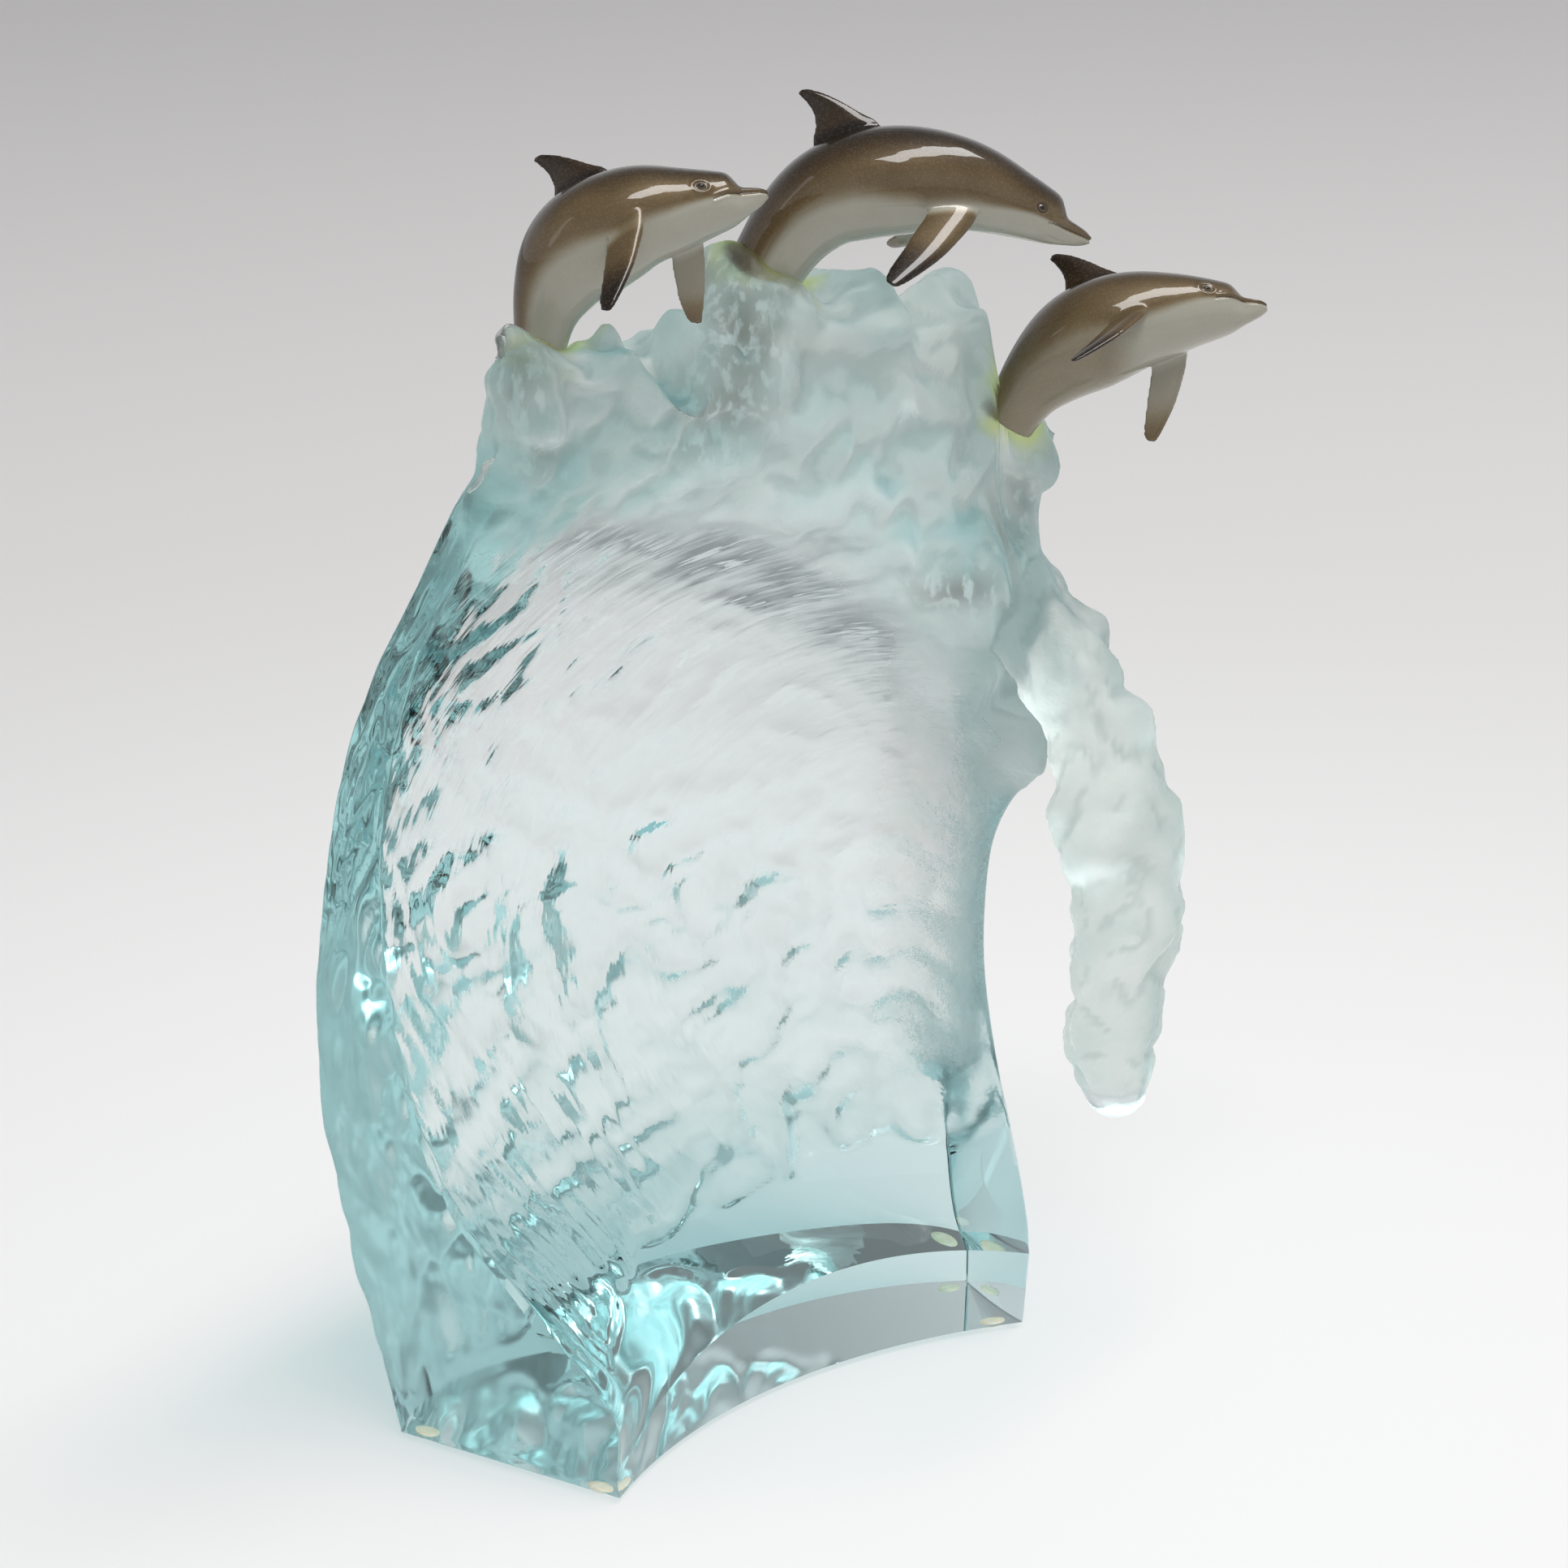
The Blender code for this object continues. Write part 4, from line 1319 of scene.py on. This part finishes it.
    def fin_shade(
        self, fin: Fin, points: np.ndarray, normals: np.ndarray, fullness: np.ndarray,
        s: np.ndarray, shade: np.ndarray,
    ) -> np.ndarray:
        """Lays a fin's own shades over the body's: dark dorsal fin, bronze flippers, pale beneath."""
        root, out = self.fin_root(fin)
        forward, _, near = self.frame_at(fin.place)
        away = points - np.array(root)
        reach = away @ np.array(out) / (self.girth * fin.size)
        across = np.abs(away @ np.array(forward.cross(out))) / (self.girth * fin.size)
        mask = ease(1.06, 1.26, fullness) * (reach > -0.1) * (across < 0.5) * (s < 0.80)
        if fin.kind is FinKind.DORSAL:
            own = 0.24 - 0.10 * ease(0.2, 1.0, reach)
        else:
            outside = 1.0 if math.sin(math.radians(fin.root_angle)) > 0 else -1.0
            inner = ease(-0.15, 0.25, -outside * (normals @ np.array(near)))
            own = 0.44 + 0.40 * inner * (1 - 0.5 * ease(0.9, 1.5, reach))
            own = own - (own - 0.05) * ease(0.60, 1.45, reach) * (1 - 0.75 * inner)
        return shade * (1 - mask) + own * mask


def dolphins(form: WaveForm) -> list[Dolphin]:
    """The three dolphins with their own poses."""
    dorsal, flipper = FinKind.DORSAL, FinKind.FLIPPER
    left = Dolphin(
        form, "dolphin_left", (0.115, 0.0337, 0.3343), 0.0158, 0.47, 41.0,
        ((0.0, 0.0), (0.0034, 0.0145), (0.0108, 0.0271), (0.0253, 0.0365),
         (0.0400, 0.0398), (0.0545, 0.0422), (0.0628, 0.0436)),
        (Fin(dorsal, 0.435, 0.0, 16.0, 0.90, 0.92), Fin(flipper, 0.560, 122.0, 172.0, 0.95, 0.90),
         Fin(flipper, 0.715, -132.0, -142.0, 0.82, 0.30)),
        eye=(0.800, 86.0), mouth=((0.828, 112.0), (0.88, 102.0), (0.93, 93.0), (1.0, 90.0)),
    )
    middle = Dolphin(
        form, "dolphin_middle", (0.504, 0.0094, 0.3441), 0.0154, 0.70, 24.0,
        ((0.0, 0.0), (0.0095, 0.0146), (0.0205, 0.0236), (0.0380, 0.0277),
         (0.0560, 0.0266), (0.0735, 0.0199), (0.0924, 0.0103)),
        (Fin(dorsal, 0.342, 0.0, 0.0, 1.02, 1.00), Fin(flipper, 0.625, 134.0, 152.0, 1.22, 0.90),
         Fin(flipper, 0.620, -128.0, -104.0, 1.05, 0.90)),
        eye=(0.838, 88.0), mouth=((0.866, 110.0), (0.91, 101.0), (1.0, 93.0)),
    )
    right = Dolphin(
        form, "dolphin_right", (0.905, -0.0130, 0.2965), 0.0154, 0.52, 54.0,
        ((0.0, 0.0), (0.0081, 0.0122), (0.0193, 0.0224), (0.0330, 0.0292),
         (0.0481, 0.0322), (0.0623, 0.0333), (0.0737, 0.0338)),
        (Fin(dorsal, 0.440, 0.0, 18.0, 0.98, 0.90), Fin(flipper, 0.560, 121.0, 150.0, 0.95, 1.35),
         Fin(flipper, 0.665, -130.0, -138.0, 0.93, 0.75)),
        eye=(0.800, 87.0), mouth=((0.822, 106.0), (0.90, 96.0), (1.0, 88.0)),
        rear_belly=0.45,
    )
    return [left, middle, right]


# ---------------------------------------------------------------- pads and studio


@dataclass
class Pads:
    """The four small bumper pads under the base, stuck to it."""

    form: WaveForm
    radius: float = 0.0042
    height: float = 0.0017
    edge: float = 0.0005
    sink: float = 0.0003
    sides: int = 48

    def profile(self) -> list[tuple[float, float]]:
        """Radius and height from the middle of the underside to the middle of the top."""
        low = [(self.radius * x, 0.00018 * x**4) for x in (0.0, 0.3, 0.6, 0.85)]
        rim = []
        for k in range(7):
            angle = math.pi / 2 * k / 6
            inward, upward = self.edge * (1 - math.sin(angle)), self.edge * (1 - math.cos(angle))
            rim.append((self.radius - inward, upward + 0.00015))
        top = self.form.floor + self.sink
        lid = [(self.radius * share, top) for share in (0.985, 0.5, 0.0)]
        return low + rim + [(self.radius, self.height)] + lid

    def build(self, node: str, rubber: bpy.types.Material) -> bpy.types.Object:
        """Builds one pad where its node sits."""
        low, high = (Vector(corner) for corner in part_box(node))
        middle = (low + high) / 2
        profile = self.profile()
        points = [(middle.x, middle.y, profile[0][1]), (middle.x, middle.y, profile[-1][1])]
        for radius, up in profile[1:-1]:
            for k in range(self.sides):
                angle = 2 * math.pi * k / self.sides
                points.append((middle.x + radius * math.cos(angle), middle.y + radius * math.sin(angle), up))
        faces, rings = [], len(profile) - 2
        for k in range(self.sides):
            j = (k + 1) % self.sides
            faces.append([0, 2 + k, 2 + j])
            faces.append([1, 2 + (rings - 1) * self.sides + k, 2 + (rings - 1) * self.sides + j])
            for i in range(rings - 1):
                a, b = 2 + i * self.sides, 2 + (i + 1) * self.sides
                faces.append([a + k, a + j, b + j, b + k])
        piece = new_piece(f"{node}_rubber", np.array(points), faces)
        piece.data.materials.append(rubber)
        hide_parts(node)
        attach(piece, "root")
        log.info("%s: %d faces", piece.name, len(piece.data.polygons))
        return piece


@dataclass
class Studio:
    """Pale floor, soft overhead light and the camera at the photograph's angle."""

    groups: SurfaceGroups
    target: Row = (-0.000687, -0.016136, 0.195)
    elevation: float = math.radians(20.0)
    distance: float = 1.5
    lens: float = 118.94
    floor_radius: float = 9.0
    horizon: Colour = (0.69, 0.69, 0.70)
    overhead: Colour = (0.21, 0.21, 0.215)

    def build(self) -> None:
        """Sets up everything round the sculpture."""
        self.floor()
        self.world()
        self.lamp("overhead_softbox", (0.75, -0.50, 3.15), (0.0, 0.0, 0.3), 3.3, 0.75, 91.0)
        self.lamp("left_strip", (-1.70, -0.70, 1.30), (0.0, 0.0, 0.25), 0.25, 1.2, 1.2)
        self.camera()

    def floor(self) -> None:
        """The floor, a wide disc."""
        sides = 96
        angles = [2 * math.pi * k / sides for k in range(sides)]
        points = [(self.floor_radius * math.cos(a), self.floor_radius * math.sin(a), 0.0) for a in angles]
        piece = new_piece("studio_floor", np.array(points), [list(range(sides))])
        piece.data.materials.append(StudioPaper(self.groups).make())

    def world(self) -> None:
        """Pale light from all round, brighter towards the horizon than overhead."""
        world = bpy.data.worlds.new("studio_light")
        world.use_nodes = True
        nodes = Nodes(world.node_tree)
        way = nodes.add("ShaderNodeTexCoord").outputs["Generated"]
        rise = nodes.add("ShaderNodeSeparateXYZ", {0: way}).outputs["Z"]
        colour = nodes.blend(nodes.step(0.22, 0.75, rise), self.horizon, self.overhead)
        shader = nodes.add("ShaderNodeBackground", {"Color": colour})
        nodes.add("ShaderNodeOutputWorld", {"Surface": shader.outputs[0]})
        bpy.context.scene.world = world

    def lamp(self, name: str, place: Row, aim: Row, width: float, depth: float, power: float) -> None:
        """A rectangular softbox that faces a point."""
        data = bpy.data.lights.new(name, "AREA")
        data.shape, data.size, data.size_y, data.energy = "RECTANGLE", width, depth, power
        lamp = bpy.data.objects.new(name, data)
        lamp.location = place
        lamp.rotation_euler = (Vector(aim) - Vector(place)).to_track_quat("-Z", "Y").to_euler()
        bpy.context.scene.collection.objects.link(lamp)

    def camera(self) -> None:
        """The camera, level with the photograph's view."""
        data = bpy.data.cameras.new("photo_camera")
        data.lens, data.sensor_width = self.lens, 36.0
        camera = bpy.data.objects.new("photo_camera", data)
        back, rise = math.cos(self.elevation), math.sin(self.elevation)
        camera.location = Vector(self.target) + self.distance * Vector((0, -back, rise))
        camera.rotation_euler = (math.pi / 2 - self.elevation, 0, 0)
        bpy.context.scene.collection.objects.link(camera)
        bpy.context.scene.camera = camera
        bpy.context.scene.view_settings.view_transform = "Standard"


def main() -> None:
    """Builds and dresses every piece, and reports each."""
    logging.basicConfig(level=logging.INFO, format="%(message)s")
    groups = SurfaceGroups.build()
    form = WaveForm()
    Studio(groups).build()

    paint = PearlPaint(groups).make()
    school = dolphins(form)
    swimmers = [dolphin.build(paint) for dolphin in school]
    skin = np.concatenate([points_of(piece.data) for piece in swimmers])

    wave = Wave(form, LipForm())
    piece = wave.build(skin, [dolphin.spine(0.0) for dolphin in school])
    piece.data.materials.clear()
    piece.data.materials.append(ClearAcrylic(groups).make())
    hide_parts(wave.node)
    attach(piece, "root")
    log.info("%s: %d faces", piece.name, len(piece.data.polygons))

    rubber = CreamRubber(groups).make()
    pads = Pads(form)
    for node in form.pad_places():
        pads.build(node, rubber)


if __name__ == "__main__":
    main()
